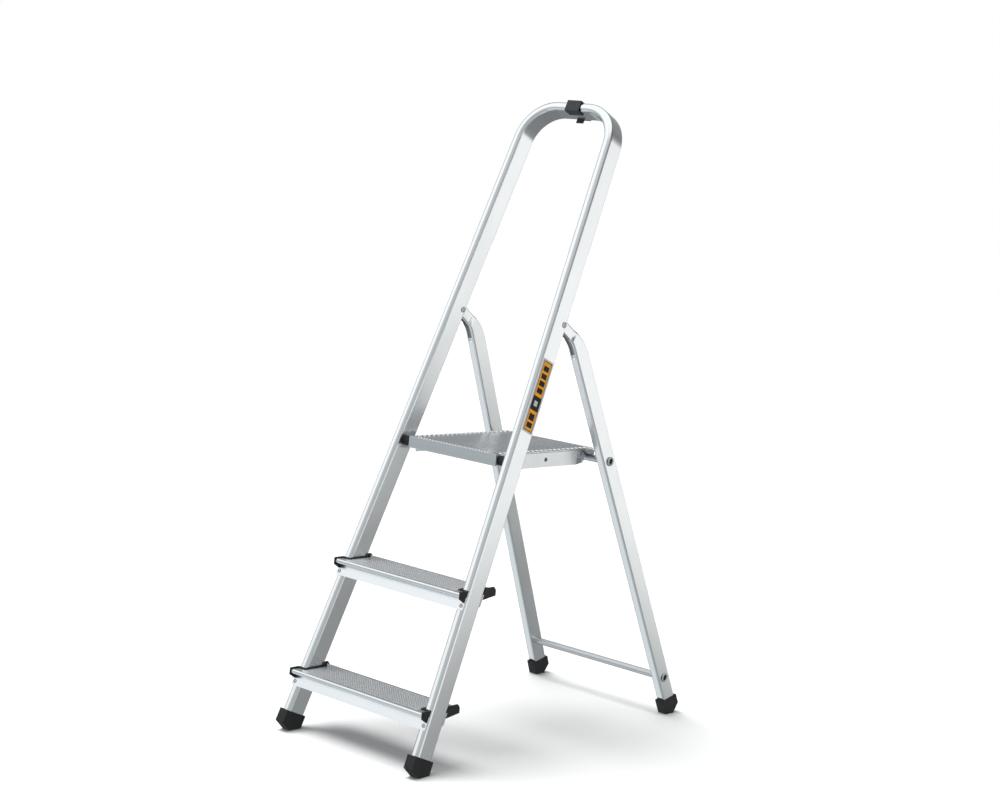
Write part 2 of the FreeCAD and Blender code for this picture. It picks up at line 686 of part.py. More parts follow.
# The sides turn inwards at the rear corners, and are cut away there over the support tube.
turn_start, inner_turn = f"({DECK_REAR} - corner_radius)", "(corner_radius - side_wall)"
side_plan = [(HALF_WIDTH, FASCIA), (HALF_WIDTH, turn_start, "corner_radius"),
             (f"{HALF_WIDTH} - corner_radius * (1 - cos(corner_turn))",
              f"{turn_start} + corner_radius * sin(corner_turn)"),
             (f"{HALF_WIDTH} - corner_radius + {inner_turn} * cos(corner_turn)",
              f"{turn_start} + {inner_turn} * sin(corner_turn)", f"-{inner_turn}"),
             (f"{HALF_WIDTH} - side_wall", turn_start), (f"{HALF_WIDTH} - side_wall", FASCIA)]
side_plate = padded("side_plate", "XY_Plane", [side_plan], "side_height - deck_plate")
placed(side_plate, "0", "0", SIDE_LOW)
side_rivet_at = (f"{DECK_FRONT} + side_rivet_reach", "platform_height - side_rivet_drop")
front_trim = box("side_front_trim", ("0", DECK_FRONT, f"{SIDE_LOW} - side_wall"),
                 (f"{HALF_WIDTH} + side_wall", "fascia_height", "side_height - fascia_height + side_wall"))


def release_line(z):
    """Front edge, at this height, of the path on which the support tube leaves the hooks."""
    beside_tube = f"{tube_y} - (tube_radius + release_gap) / cos(release_angle)"
    return f"{beside_tube} - ({tube_z} - ({z})) * tan(release_angle)"


trim_low, trim_high = f"{SIDE_LOW} - side_wall", f"{tube_z} + tube_radius"
trim_back = f"{tube_y} + corner_radius"
rear_trim = padded("side_rear_trim", "YZ_Plane",
                   [[(release_line(trim_low), trim_low), (trim_back, trim_low), (trim_back, trim_high),
                     (release_line(trim_high), trim_high)]], HALF_WIDTH + " + side_wall")
placed(rear_trim, "0", "0", "0")
keep_pair(cut("side_plate_cut", side_plate, front_trim, rear_trim,
              drill_right("side_pin_hole", PIN_HOLE, DECK_PIVOT),
              drill_right("side_rivet_hole", "small_rivet_radius + running_gap", side_rivet_at)),
          "platform_side")

# Each hook lies on the support tube and reaches down behind it. It is open below and in front.
grip = "(tube_radius + hook_gap)"
hook_back = f"{tube_y} + {grip} + hook_lip"
hook_front = f"{tube_y} - 3 * {grip}"
hook_profile = [(hook_front, UNDER_DECK), (hook_front, f"{UNDER_DECK} - hook_lip"),
                (f"{tube_y} - {grip} * cos(45)", f"{tube_z} + {grip} * sin(45)", f"-{grip}"),
                (f"{tube_y} + {grip}", tube_z), (f"{tube_y} + {grip}", f"{tube_z} - tube_radius"),
                (hook_back, f"{tube_z} - tube_radius"), (hook_back, f"{UNDER_DECK} - hook_lip"),
                (DECK_REAR, UNDER_DECK)]
hook = padded("hook_body", "YZ_Plane", [hook_profile], "hook_width")
hook_side = f"{HALF_WIDTH} - corner_radius + {inner_turn} * cos(corner_turn) - hook_gap"
keep_pair(placed(hook, f"{hook_side} - hook_width", "0", "0"), "platform_hook")


# ---------------------------------------------------------------- pivots and rivets

def rivet(name, radius, head, middle, place, length, head_height):
    """A rivet along X: a shank with a flat round head at each end."""
    shank = cylinder(name + "_shank", radius, length, middle, *place)
    heads = [cylinder(f"{name}_head_{end}", head, head_height,
                      f"({middle}) {sign} (({length}) / 2 + ({head_height}) / 2)", *place)
             for end, sign in (("outer", "+"), ("inner", "-"))]
    return fused(name, shank, *heads)


leg_rivet_middle = f"{rail_outside('leg_pivot_along')} - rail_width / 2"
keep_pair(rivet("leg_rivet", "pin_radius", "rivet_head_radius", leg_rivet_middle, LEG_PIVOT,
                "rail_width + 3 * washer_gap", "rivet_head_height"), "leg_pivot_rivet")

# The platform's pins run from inside its sides, through the bushings, into the rails' inner walls.
pin_inner = f"({HALF_WIDTH} - side_wall - washer_gap)"
pin_outer = f"({rail_outside(DECK_PIVOT_ALONG)} - rail_width + rail_wall + 2 * washer_gap)"
keep_pair(rivet("deck_pin", "pin_radius", "rivet_head_radius", f"({pin_inner} + {pin_outer}) / 2", DECK_PIVOT,
                f"{pin_outer} - {pin_inner}", "rivet_head_height"), "platform_pivot_pin")

bushing_inner = f"({HALF_WIDTH} + washer_gap)"
bushing_outer = f"({rail_outside(DECK_PIVOT_ALONG)} - rail_width + rail_wall)"
bushing = cylinder("bushing_block", "bushing_radius", f"{bushing_outer} - {bushing_inner}",
                   f"({bushing_inner} + {bushing_outer}) / 2", *DECK_PIVOT)
keep_pair(cut("bushing_cut", bushing, rail_space, drill_right("bushing_bore", PIN_HOLE, DECK_PIVOT)),
          "platform_bushing")

side_rivets = doc.addObject("Part::Compound", "side_rivets")
side_rivet = rivet("side_rivet", "small_rivet_radius", "small_head_radius", f"{HALF_WIDTH} - side_wall / 2",
                   side_rivet_at, "side_wall", "small_head_height")
side_rivets.Links = [side_rivet, mirrored("side_rivet_left", side_rivet)]
keep(side_rivets, "platform_side_rivets")


# ---------------------------------------------------------------- trim

# The clip is a saddle over the bow. In front its lip turns in under the tube, and at the rear a flap
# reaches lower and is cut down to a narrow tab there.
under_tube = "(bow_top - rail_width - fit_gap)"
clip_low, clip_high = f"({under_tube} - clip_wall)", "bow_top + clip_wall"
tab_low = "(bow_top - rail_width - clip_drop)"
flap_front, flap_rear = "-clip_wall", "rail_depth + clip_wall"
saddle = [rail_point(clip_low, flap_front), rail_point(clip_high, flap_front),
          rail_point(clip_high, flap_rear), rail_point(tab_low, flap_rear),
          rail_point(tab_low, "rail_depth + fit_gap"), rail_point("bow_top", "rail_depth + fit_gap"),
          rail_point("bow_top", "-fit_gap"), rail_point(under_tube, "-fit_gap"),
          rail_point(under_tube, "clip_lip"), rail_point(clip_low, "clip_lip")]
tab_end, tab_high = f"{tab_low} - clip_wall", "bow_top - rail_width"
tab_front, tab_rear = "(clip_lip + rail_depth) / 2", "(rail_depth + tool_margin)"
beside_tab = [rail_point(tab_end, tab_front), rail_point(tab_end, tab_rear),
              rail_point(tab_high, tab_rear), rail_point(tab_high, tab_front)]
clip_block = padded("clip_block", "YZ_Plane", [saddle], "clip_width", side="Symmetric")
tab_trim = padded("clip_tab_trim", "YZ_Plane", [beside_tab], "clip_width")
placed(clip_block, "clip_offset", "0", "0")
placed(tab_trim, "clip_offset - clip_width / 2 + clip_tab", "0", "0")
keep(cut("clip_cut", clip_block, rail_space, tab_trim), "bow_clip")

label_high, label_rear = "label_low + label_length", "label_inset + label_width"
keep(beside_rail("label_plate", [rail_point("label_low", "label_inset"), rail_point("label_low", label_rear),
                                 rail_point(label_high, label_rear), rail_point(label_high, "label_inset")],
                 "label_thickness", "0"), "rail_label")


# ---------------------------------------------------------------- output

doc.recompute()
for thing in doc.Objects:
    if "Invalid" in thing.State or "Error" in thing.State:
        raise ValueError(f"{thing.Label} is {thing.State}")
os.makedirs("parts", exist_ok=True)
for node in nodes:
    if node.Shape.isNull() or not node.Shape.isValid():
        raise ValueError(f"{node.Label} has no valid shape")
    node.Shape.exportStep(f"parts/{node.Label}.step")
    extent = node.Shape.BoundBox
    print(f"{node.Label}: {len(node.Shape.Solids)} solids, {node.Shape.Volume / 1000:.1f} cm3, "
          f"y {extent.YMin:.1f} to {extent.YMax:.1f}, z {extent.ZMin:.1f} to {extent.ZMax:.1f}")
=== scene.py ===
# %% [markdown]
# # A household step ladder
#
# The ladder is a leaning front frame, bent from one rectangular aluminium tube, with two treads, a
# hinged platform and a rear frame that folds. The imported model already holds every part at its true
# size and place. This lesson builds the surfaces that a viewer sees: clean bent tubes, pressed sheet,
# moulded plastic and brushed metal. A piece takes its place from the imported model's own boxes and
# joints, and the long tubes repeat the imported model's lean and taper.

import json
import math

import bmesh
import bpy
from mathutils import Matrix, Vector


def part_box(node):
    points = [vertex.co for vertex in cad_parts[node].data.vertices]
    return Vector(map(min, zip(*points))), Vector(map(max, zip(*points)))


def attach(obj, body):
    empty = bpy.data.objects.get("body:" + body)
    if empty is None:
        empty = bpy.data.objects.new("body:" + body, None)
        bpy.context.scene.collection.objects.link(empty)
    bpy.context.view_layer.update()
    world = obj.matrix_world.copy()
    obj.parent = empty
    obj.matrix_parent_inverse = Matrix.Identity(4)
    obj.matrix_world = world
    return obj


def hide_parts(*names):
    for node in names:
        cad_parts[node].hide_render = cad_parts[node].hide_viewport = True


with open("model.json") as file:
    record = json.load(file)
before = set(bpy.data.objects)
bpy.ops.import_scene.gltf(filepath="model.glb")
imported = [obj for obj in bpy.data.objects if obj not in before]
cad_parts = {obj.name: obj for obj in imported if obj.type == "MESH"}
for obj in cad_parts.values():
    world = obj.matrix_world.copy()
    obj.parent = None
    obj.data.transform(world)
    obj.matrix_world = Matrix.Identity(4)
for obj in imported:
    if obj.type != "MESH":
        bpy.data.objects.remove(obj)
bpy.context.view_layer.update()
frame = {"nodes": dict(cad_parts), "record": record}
mm = 0.001

# %% [markdown]
# ## Two leaning frames of reference
#
# A rail is easiest to draw upright and then lean. One matrix stands for the rails: its Y is depth
# through the tube, from the climber to the rear, and its Z runs up along the rail. It is anchored at
# the pivot of the rear frame, whose place the joint gives exactly. The right-hand rail and the
# right-hand leg have a matrix each, which adds the inward taper. The left side is their mirror image.

# %% Frames of reference
joints = {joint["name"]: joint for joint in frame["record"]["behaviour"]["joints"]}
leg_pivot = Vector(joints["rear_frame_fold"]["pos_m"])
rail_lean, rail_taper = math.radians(21.8), math.radians(2.55)
leg_lean, leg_taper, leg_bend = math.radians(27.0), math.radians(3.0), math.radians(30.0)
rail_width, rail_depth, rail_wall, rail_corner = 20 * mm, 48 * mm, 1.6 * mm, 8.5 * mm
leg_width, leg_depth, leg_corner = 20 * mm, 40 * mm, 4.2 * mm
pivot_along, pivot_depth = 975 * mm, 40 * mm
floor_half_width, leg_half_width, leg_behind = 192.5 * mm, 201.8 * mm, 868 * mm

rail_turn = Matrix.Rotation(-rail_lean, 4, "X")
rail_origin = Vector((0, *(leg_pivot - rail_turn @ Vector((0, pivot_depth, pivot_along))).yz))
in_rails = Matrix.Translation(rail_origin) @ rail_turn
tapered = Matrix.Translation((floor_half_width, 0, 0)) @ Matrix.Rotation(-rail_taper, 4, "Y")
on_right_rail = in_rails @ tapered

leg_origin = Vector((leg_half_width, rail_origin.y + leg_behind, 0))
leg_turn = Matrix.Rotation(leg_lean, 4, "X") @ Matrix.Rotation(-leg_taper, 4, "Y")
on_right_leg = Matrix.Translation(leg_origin) @ leg_turn
mirror_x = Matrix.Scale(-1, 4, (1, 0, 0))


def rail_outer_x(height):
    """How far the right rail's outer face is from the middle, at a height above the floor."""
    return floor_half_width - height / math.cos(rail_lean) * math.tan(rail_taper)


print("rail line meets the floor at", [round(value, 4) for value in rail_origin])

# %% [markdown]
# ## Camera, floor and sun
#
# The camera comes first, so that every later cell can be looked at. It stands at the right of the
# ladder, at chest height, with a long lens and a slight roll. A sun with a very wide disc gives the
# soft shadows. It lights only what scatters light, so that it leaves no hot spot in the metal. The
# metal doesn't mirror the floor either, because the world below gives it a better studio floor.

# %% Camera
camera_data = bpy.data.cameras.new("camera")
camera_data.sensor_width = 36
camera_data.lens = 66.24
camera = bpy.data.objects.new("camera", camera_data)
bpy.context.collection.objects.link(camera)
yaw, pitch, roll = math.radians(39.18), math.radians(6.32), math.radians(-5.70)
forward = Vector((-math.sin(yaw) * math.cos(pitch), math.cos(yaw) * math.cos(pitch), -math.sin(pitch)))
level_right = Vector((math.cos(yaw), math.sin(yaw), 0))
level_up = level_right.cross(forward)
camera_right = level_right * math.cos(roll) - level_up * math.sin(roll)
camera_up = level_up * math.cos(roll) + level_right * math.sin(roll)
camera_turn = Matrix((camera_right, camera_up, -forward)).transposed().to_4x4()
camera_spot = Vector((2462.7 * mm, -2625.5 * mm + rail_origin.y, 1143.4 * mm))
camera.matrix_world = Matrix.Translation(camera_spot) @ camera_turn
bpy.context.scene.camera = camera
print("camera stands at", [round(value, 3) for value in camera_spot])

# %% Floor and sun
floor_size, sun_strength, sun_disc, sun_way = 60, 4.0, math.radians(38), Vector((0.34, 0.30, -1.15))
bpy.ops.mesh.primitive_plane_add(size=floor_size)
floor = bpy.context.object
floor.name = "studio_floor"
floor.visible_glossy = False

sun_data = bpy.data.lights.new("soft_sun", "SUN")
sun_data.energy = sun_strength
sun_data.angle = sun_disc
sun = bpy.data.objects.new("soft_sun", sun_data)
bpy.context.collection.objects.link(sun)
sun.matrix_world = sun_way.to_track_quat("-Z", "Y").to_matrix().to_4x4()
sun.visible_glossy = False
print("sun disc:", round(math.degrees(sun_data.angle)), "degrees")

# %% [markdown]
# ## The studio as a world
#
# Satin metal shows mostly what surrounds it, so the studio matters more than the lamps. Here the
# world is the studio. It has four sides, and each is a colour ramp from below to above, with bright
# cards and dim gaps where the flat faces of the tubes look. Overhead there is one large white cloth.
# The camera itself sees plain white behind the ladder.

# %% World helpers
world = bpy.data.worlds.new("studio")
bpy.context.scene.world = world
world.use_nodes = True
studio = world.node_tree
direction = studio.nodes.new("ShaderNodeTexCoord")
split = studio.nodes.new("ShaderNodeSeparateXYZ")
studio.links.new(direction.outputs["Generated"], split.inputs["Vector"])


def ranged(axis, low, high):
    """The direction's part along an axis, as 0 at low and 1 at high."""
    node = studio.nodes.new("ShaderNodeMapRange")
    studio.links.new(split.outputs[axis], node.inputs["Value"])
    node.inputs["From Min"].default_value, node.inputs["From Max"].default_value = low, high
    return node.outputs["Result"]


def mixed(factor, first, second):
    """The first colour where factor is 0, and the second where it is 1."""
    node = studio.nodes.new("ShaderNodeMix")
    node.data_type = "RGBA"
    for name, socket in (("Factor", factor), ("A", first), ("B", second)):
        studio.links.new(socket, node.inputs[name])
    return node.outputs["Result"]


upward = ranged("Z", -0.5, 0.5)
green_loss = 0.3


def world_side(*stops):
    """One side of the studio, from below to above, as (place, brightness, blueness) stops."""
    ramp = studio.nodes.new("ShaderNodeValToRGB")
    studio.links.new(upward, ramp.inputs["Fac"])
    while len(ramp.color_ramp.elements) < len(stops):
        ramp.color_ramp.elements.new(0.5)
    for element, (place, level, blue) in zip(ramp.color_ramp.elements, stops):
        element.position = place
        element.color = (level * (1 - blue), level * (1 - blue * green_loss), level, 1)
    return ramp.outputs["Color"]


print("world helpers ready, nodes:", len(studio.nodes))

# %% World sides
back_right = world_side((0.0, 0.24, 0.06), (0.18, 0.29, 0.05), (0.295, 0.25, 0.04), (0.332, 0.78, 0.02),
                        (0.36, 1.08, 0.01), (0.62, 1.08, 0.01), (0.71, 0.20, 0.03), (1.0, 0.12, 0.04))
front_right = world_side((0.0, 0.50, 0.08), (0.30, 0.46, 0.08), (0.50, 0.48, 0.10), (0.85, 0.52, 0.10),
                         (1.0, 0.6, 0.06))
back_left = world_side((0.0, 0.22, 0.08), (0.04, 0.62, 0.08), (0.20, 0.36, 0.07), (0.33, 0.13, 0.04),
                       (0.46, 0.20, 0.05), (0.56, 0.34, 0.05), (0.80, 0.39, 0.05), (0.90, 0.20, 0.05),
                       (1.0, 0.25, 0.05))
front_left = world_side((0.0, 0.85, 0.08), (0.25, 0.52, 0.10), (0.46, 0.47, 0.10), (0.58, 0.68, 0.07),
                        (0.64, 1.02, 0.05), (0.78, 1.02, 0.05), (0.95, 1.16, 0.03))
front_side = mixed(ranged("X", -0.4, -0.1), front_left, front_right)
back_side = mixed(ranged("X", 0.1, 0.35), back_left, back_right)
sides = mixed(ranged("Y", -0.2, 0.2), front_side, back_side)
overhead = world_side((0.0, 1.15, 0.01), (1.0, 1.15, 0.01))
around = mixed(ranged("Z", 0.66, 0.82), sides, overhead)
print("world nodes with all sides:", len(studio.nodes))

# %% World output
backdrop = studio.nodes["Background"]
studio.links.new(around, backdrop.inputs["Color"])
plain_white = studio.nodes.new("ShaderNodeBackground")
plain_white.inputs["Color"].default_value = (1, 1, 1, 1)
seen = studio.nodes.new("ShaderNodeLightPath")
choice = studio.nodes.new("ShaderNodeMixShader")
for name, socket in ((0, seen.outputs["Is Camera Ray"]), (1, backdrop.outputs["Background"]),
                     (2, plain_white.outputs["Background"])):
    studio.links.new(socket, choice.inputs[name])
studio.links.new(choice.outputs["Shader"], studio.nodes["World Output"].inputs["Surface"])
bpy.context.scene.view_settings.view_transform = "Standard"
print("world nodes:", len(studio.nodes))

# %% [markdown]
# ## Shader groups
#
# Three effects turn up in several materials, so each is a node group with named inputs. Drawn metal
# has long, hair-fine die lines that run with the tube. Handling leaves faint cloudy smudges that
# change the gloss. Moulded plastic has a fine leathery grain from its spark-eroded mould.

# %% Group helpers
VECTOR, FLOAT = "NodeSocketVector", "NodeSocketFloat"


def new_group(name, inputs, outputs):
    """An empty shader group with these sockets. Gives its tree, its input node and its output node."""
    tree = bpy.data.node_groups.new(name, "ShaderNodeTree")
    for label, kind, value in inputs:
        socket = tree.interface.new_socket(label, in_out="INPUT", socket_type=kind)
        if value is not None:
            socket.default_value = value
    for label in outputs:
        tree.interface.new_socket(label, in_out="OUTPUT", socket_type=FLOAT)
    return tree, tree.nodes.new("NodeGroupInput"), tree.nodes.new("NodeGroupOutput")


def add_node(tree, kind, links=None, **settings):
    """A node with these settings. links gives an input's value, or the socket that feeds it."""
    node = tree.nodes.new(kind)
    for name, value in settings.items():
        setattr(node, name, value)
    for name, value in (links or {}).items():
        if isinstance(value, bpy.types.NodeSocket):
            tree.links.new(value, node.inputs[name])
        else:
            node.inputs[name].default_value = value
    return node


print("a group's inputs may be", VECTOR, "or", FLOAT)

# %% Die lines
die_lines, lines_in, lines_out = new_group(
    "die_lines", [("Vector", VECTOR, None), ("Fineness", FLOAT, 900.0), ("Stretch", FLOAT, 0.01)],
    ["Lines", "Bands"])
stretch = add_node(die_lines, "ShaderNodeCombineXYZ", {"X": 1.0, "Y": 1.0, "Z": lines_in.outputs["Stretch"]})
pulled = add_node(die_lines, "ShaderNodeVectorMath",
                  {0: lines_in.outputs["Vector"], 1: stretch.outputs["Vector"]}, operation="MULTIPLY")
fine = add_node(die_lines, "ShaderNodeTexNoise",
                {"Vector": pulled.outputs["Vector"], "Scale": lines_in.outputs["Fineness"], "Detail": 3.0,
                 "Roughness": 0.6})
broad = add_node(die_lines, "ShaderNodeTexNoise",
                 {"Vector": pulled.outputs["Vector"], "Scale": 120.0, "Detail": 2.0})
die_lines.links.new(fine.outputs["Fac"], lines_out.inputs["Lines"])
die_lines.links.new(broad.outputs["Fac"], lines_out.inputs["Bands"])
print("group:", die_lines.name)

# %% Smudges
smudges, smudge_in, smudge_out = new_group("smudges", [("Vector", VECTOR, None), ("Size", FLOAT, 9.0)],
                                           ["Smudge"])
clouds = add_node(smudges, "ShaderNodeTexNoise",
                  {"Vector": smudge_in.outputs["Vector"], "Scale": smudge_in.outputs["Size"], "Detail": 5.0,
                   "Roughness": 0.6, "Distortion": 0.4})
soft = add_node(smudges, "ShaderNodeValToRGB", {"Fac": clouds.outputs["Fac"]})
soft.color_ramp.elements[0].position = 0.38
soft.color_ramp.elements[1].position = 0.68
smudges.links.new(soft.outputs["Color"], smudge_out.inputs["Smudge"])
print("group:", smudges.name)

# %% Moulded grain
grain, grain_in, grain_out = new_group(
    "moulded_grain", [("Vector", VECTOR, None), ("Size", FLOAT, 900.0)], ["Height", "Mottle"])
cells = add_node(grain, "ShaderNodeTexVoronoi",
                 {"Vector": grain_in.outputs["Vector"], "Scale": grain_in.outputs["Size"]})
mottle = add_node(grain, "ShaderNodeTexNoise",
                  {"Vector": grain_in.outputs["Vector"], "Scale": 45.0, "Detail": 4.0})
grain.links.new(cells.outputs["Distance"], grain_out.inputs["Height"])
grain.links.new(mottle.outputs["Fac"], grain_out.inputs["Mottle"])
print("group:", grain.name)

# %% [markdown]
# ## Materials
#
# The metal is anodised aluminium in a few tempers: the bent tubes are smooth and bright, the treads
# slightly duller and the pressed platform the greyest. Its ovals and scallops get a brighter copy of
# the deck metal as a painted highlight. On the treads the pads get a darker copy of the tread metal as
# painted shade, and the grooves between them a lighter copy as a painted highlight. The hooks are dark,
# and the pressed grooves of the legs get a dark metal as painted shade. One function makes all of them
# from two tones, a roughness and the direction of drawing, because only those differ. Base colour
# changes a little with the die lines, and roughness changes with the lines and the smudges, which is
# what breaks up a highlight.

# %% Material helpers
line_depth, grain_depth = 0.2 * mm, 0.1 * mm
smudge_strength, grain_strength = 0.04, 0.12
plastic_gloss = 0.35


def new_material(name):
    """A node material. Gives the material, its tree and its main shader."""
    material = bpy.data.materials.new(name)
    material.use_nodes = True
    tree = material.node_tree
    return material, tree, tree.nodes["Principled BSDF"]


def object_space(tree, turn=(0, 0, 0)):
    """Object coordinates, turned so that Z runs with the metal's drawing direction."""
    place = tree.nodes.new("ShaderNodeTexCoord")
    mapping = add_node(tree, "ShaderNodeMapping", {"Vector": place.outputs["Object"], "Rotation": turn},
                       vector_type="POINT")
    return mapping.outputs["Vector"]


def use_group(tree, group, links, **values):
    """The group as a node of the tree. links gives its socket inputs, values its plain ones."""
    node = tree.nodes.new("ShaderNodeGroup")
    node.node_tree = group
    for name, socket in links.items():
        tree.links.new(socket, node.inputs[name])
    for name, value in values.items():
        node.inputs[name].default_value = value
    return node


def spread(tree, value, low, high):
    """Maps a 0 to 1 value to the range low to high."""
    node = add_node(tree, "ShaderNodeMapRange", {"Value": value, "To Min": low, "To Max": high})
    return node.outputs["Result"]


def metal(name, dark, light, roughness, turn=(0, 0, 0), lines=0.004, fineness=420.0):
    """Drawn or rolled metal. dark and light are its two tones, turn the direction of its lines."""
    material, tree, shader = new_material(name)
    vector = object_space(tree, turn)
    drawn = use_group(tree, die_lines, {"Vector": vector}, Fineness=fineness)
    worn = use_group(tree, smudges, {"Vector": vector})
    tone = add_node(tree, "ShaderNodeMix", {"Factor": drawn.outputs["Bands"], "A": dark, "B": light},
                    data_type="RGBA")
    tree.links.new(tone.outputs["Result"], shader.inputs["Base Color"])
    streaked = spread(tree, drawn.outputs["Lines"], roughness - 0.015, roughness + 0.02)
    matt = add_node(tree, "ShaderNodeMath", {0: worn.outputs["Smudge"], 1: smudge_strength, 2: streaked},
                    operation="MULTIPLY_ADD")
    tree.links.new(matt.outputs["Value"], shader.inputs["Roughness"])
    bump = add_node(tree, "ShaderNodeBump",
                    {"Height": drawn.outputs["Lines"], "Strength": lines, "Distance": line_depth})
    tree.links.new(bump.outputs["Normal"], shader.inputs["Normal"])
    shader.inputs["Metallic"].default_value = 1.0
    return material


def moulded(name, dark, light, roughness, grain_size=900.0):
    """Moulded black plastic or rubber, with its mould's grain."""
    material, tree, shader = new_material(name)
    vector = object_space(tree)
    skin = use_group(tree, grain, {"Vector": vector}, Size=grain_size)
    worn = use_group(tree, smudges, {"Vector": vector}, Size=30.0)
    tone = add_node(tree, "ShaderNodeMix", {"Factor": skin.outputs["Mottle"], "A": dark, "B": light},
                    data_type="RGBA")
    tree.links.new(tone.outputs["Result"], shader.inputs["Base Color"])
    matt = spread(tree, worn.outputs["Smudge"], roughness, roughness + 0.1)
    tree.links.new(matt, shader.inputs["Roughness"])
    bump = add_node(tree, "ShaderNodeBump",
                    {"Height": skin.outputs["Height"], "Strength": grain_strength, "Distance": grain_depth})
    tree.links.new(bump.outputs["Normal"], shader.inputs["Normal"])
    shader.inputs["Specular IOR Level"].default_value = plastic_gloss
    return material


floor_material, tree, shader = new_material("pale_floor")
shader.inputs["Base Color"].default_value = (0.63, 0.63, 0.63, 1)
shader.inputs["Roughness"].default_value = 0.9
floor.data.materials.append(floor_material)
print("floor:", floor_material.name)

# %% Metals
up_rails, up_legs = (rail_lean, 0, 0), (-leg_lean, 0, 0)
across, along_sides = (0, math.radians(90), 0), (math.radians(90), 0, 0)
anodised = ((0.855, 0.87, 0.88, 1), (0.875, 0.887, 0.895, 1), 0.21)
rail_metal = metal("anodised_rail", *anodised, turn=up_rails)
leg_metal = metal("anodised_leg", *anodised, turn=up_legs)
# Dark metal for the legs' pressed grooves: painted shade in the channel.
leg_groove_painted_shade = metal("pressed_groove_painted_shade", (0.20, 0.205, 0.21, 1), (0.30, 0.305, 0.31, 1), 0.30, turn=up_legs)
tread_metal = metal("extruded_tread", (0.82, 0.845, 0.86, 1), (0.87, 0.885, 0.90, 1), 0.25, turn=across)
# Darker and lighter copies of the tread metal for the pads and the grooves between them: painted shade and
# painted highlight.
pad_painted_shade_metal = metal("knurled_tread_painted_shade", (0.64, 0.655, 0.665, 1), (0.68, 0.695, 0.70, 1), 0.26, turn=across)
tread_groove_painted_highlight = metal("knurled_groove_painted_highlight", (0.90, 0.91, 0.92, 1), (0.93, 0.94, 0.95, 1), 0.30, turn=across)
deck_metal = metal("pressed_deck", (0.72, 0.745, 0.765, 1), (0.80, 0.82, 0.84, 1), 0.24, turn=across,
                   lines=0.03)
# A brighter copy of the deck metal for the edge ovals and scallops: a painted highlight.
oval_painted_highlight = metal("bright_oval_painted_highlight", (0.93, 0.94, 0.945, 1), (0.96, 0.965, 0.97, 1), 0.2, turn=across)
side_metal = metal("pressed_side", (0.80, 0.82, 0.83, 1), (0.86, 0.875, 0.88, 1), 0.24, turn=along_sides)
zinc = metal("zinc_tube", (0.55, 0.57, 0.60, 1), (0.66, 0.68, 0.71, 1), 0.28, turn=across, fineness=400.0)
rivet_metal = metal("rivet_metal", (0.58, 0.59, 0.60, 1), (0.70, 0.71, 0.72, 1), 0.22)
hook_steel = metal("hook_steel", (0.20, 0.205, 0.21, 1), (0.27, 0.275, 0.28, 1), 0.24)
print("materials so far:", len(bpy.data.materials))

# %% Plastics and rubber
# Dark, unpolished inner wall of the tube bores; on the deck's slot plates the same material is painted shade.
unpolished_bore_and_slot_shade = moulded("unpolished_bore_and_painted_shade", (0.012, 0.012, 0.012, 1), (0.03, 0.03, 0.03, 1), 0.6)
black_plastic = moulded("black_plastic", (0.004, 0.004, 0.0045, 1), (0.008, 0.008, 0.009, 1), 0.40)
clip_plastic = moulded("clip_plastic", (0.018, 0.018, 0.019, 1), (0.028, 0.028, 0.030, 1), 0.42)
foot_rubber = moulded("foot_rubber", (0.006, 0.006, 0.007, 1), (0.012, 0.0125, 0.0135, 1), 0.50,
                      grain_size=600.0)
print("materials:", [material.name for material in bpy.data.materials])

# %% [markdown]
# ## From a mesh to a piece
#
# Every piece goes through the same last steps: its doubles are merged, its normals point outwards, it
# is shaded smooth with its hard edges kept, and it is tied to the body that it moves with. Weighted
# normals keep the flat sides of a tube flat in the light while its small corners stay round.

# %% Finishing a piece
weld, packed_weld = 0.002 * mm, 0.005 * mm
flat_angle, hard_angle = math.radians(0.6), math.radians(35)


def make_piece(bm, name, material, body, replaced=(), place=None, sharp=38, wall=0):
    """Finishes a mesh as one piece of the ladder. place puts it from its own frame into the ladder's."""
    if place is not None:
        bm.transform(place)
    bmesh.ops.remove_doubles(bm, verts=bm.verts, dist=weld)
    bmesh.ops.recalc_face_normals(bm, faces=bm.faces)
    mesh = bpy.data.meshes.new(name)
    bm.to_mesh(mesh)
    bm.free()
    mesh.shade_smooth()
    mesh.set_sharp_from_angle(angle=math.radians(sharp))
    mesh.materials.append(material)
    piece = bpy.data.objects.new(name, mesh)
    bpy.context.collection.objects.link(piece)
    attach(piece, body)
    if replaced:
        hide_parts(*replaced)
    if wall:
        shell = piece.modifiers.new("wall", "SOLIDIFY")
        shell.thickness, shell.offset, shell.use_even_offset = wall, -1, True
    piece.modifiers.new("weighted_normals", "WEIGHTED_NORMAL").keep_sharp = True
    print(f"{name}: {len(mesh.polygons)} faces")
    return piece


body_of = {node: body for body, nodes in frame["record"]["behaviour"]["bodies"].items() for node in nodes}
print("pieces will ride on", sorted(set(body_of.values())))

# %% Shaping helpers


def verts_of(result):
    """The vertices in what an operator gave back."""
    return [part for part in result["geom"] if isinstance(part, bmesh.types.BMVert)]


def prism(bm, corners, push):
    """A closed block: a face through the corners, pushed along a vector."""
    face = bm.faces.new([bm.verts.new(corner) for corner in corners])
    moved = verts_of(bmesh.ops.extrude_face_region(bm, geom=[face]))
    bmesh.ops.translate(bm, verts=moved, vec=push)


def slice_mesh(bm, spot, normal):
    """Adds edges where the plane through spot cuts the mesh."""
    bmesh.ops.bisect_plane(bm, geom=bm.verts[:] + bm.edges[:] + bm.faces[:], plane_co=spot, plane_no=normal)


def round_edges(bm, edges, width, segments):
    """Rounds these edges over a width."""
    bmesh.ops.bevel(bm, geom=list(edges), offset=width, offset_type="OFFSET", segments=segments, profile=0.5,
                    affect="EDGES", clamp_overlap=True, material=-1)


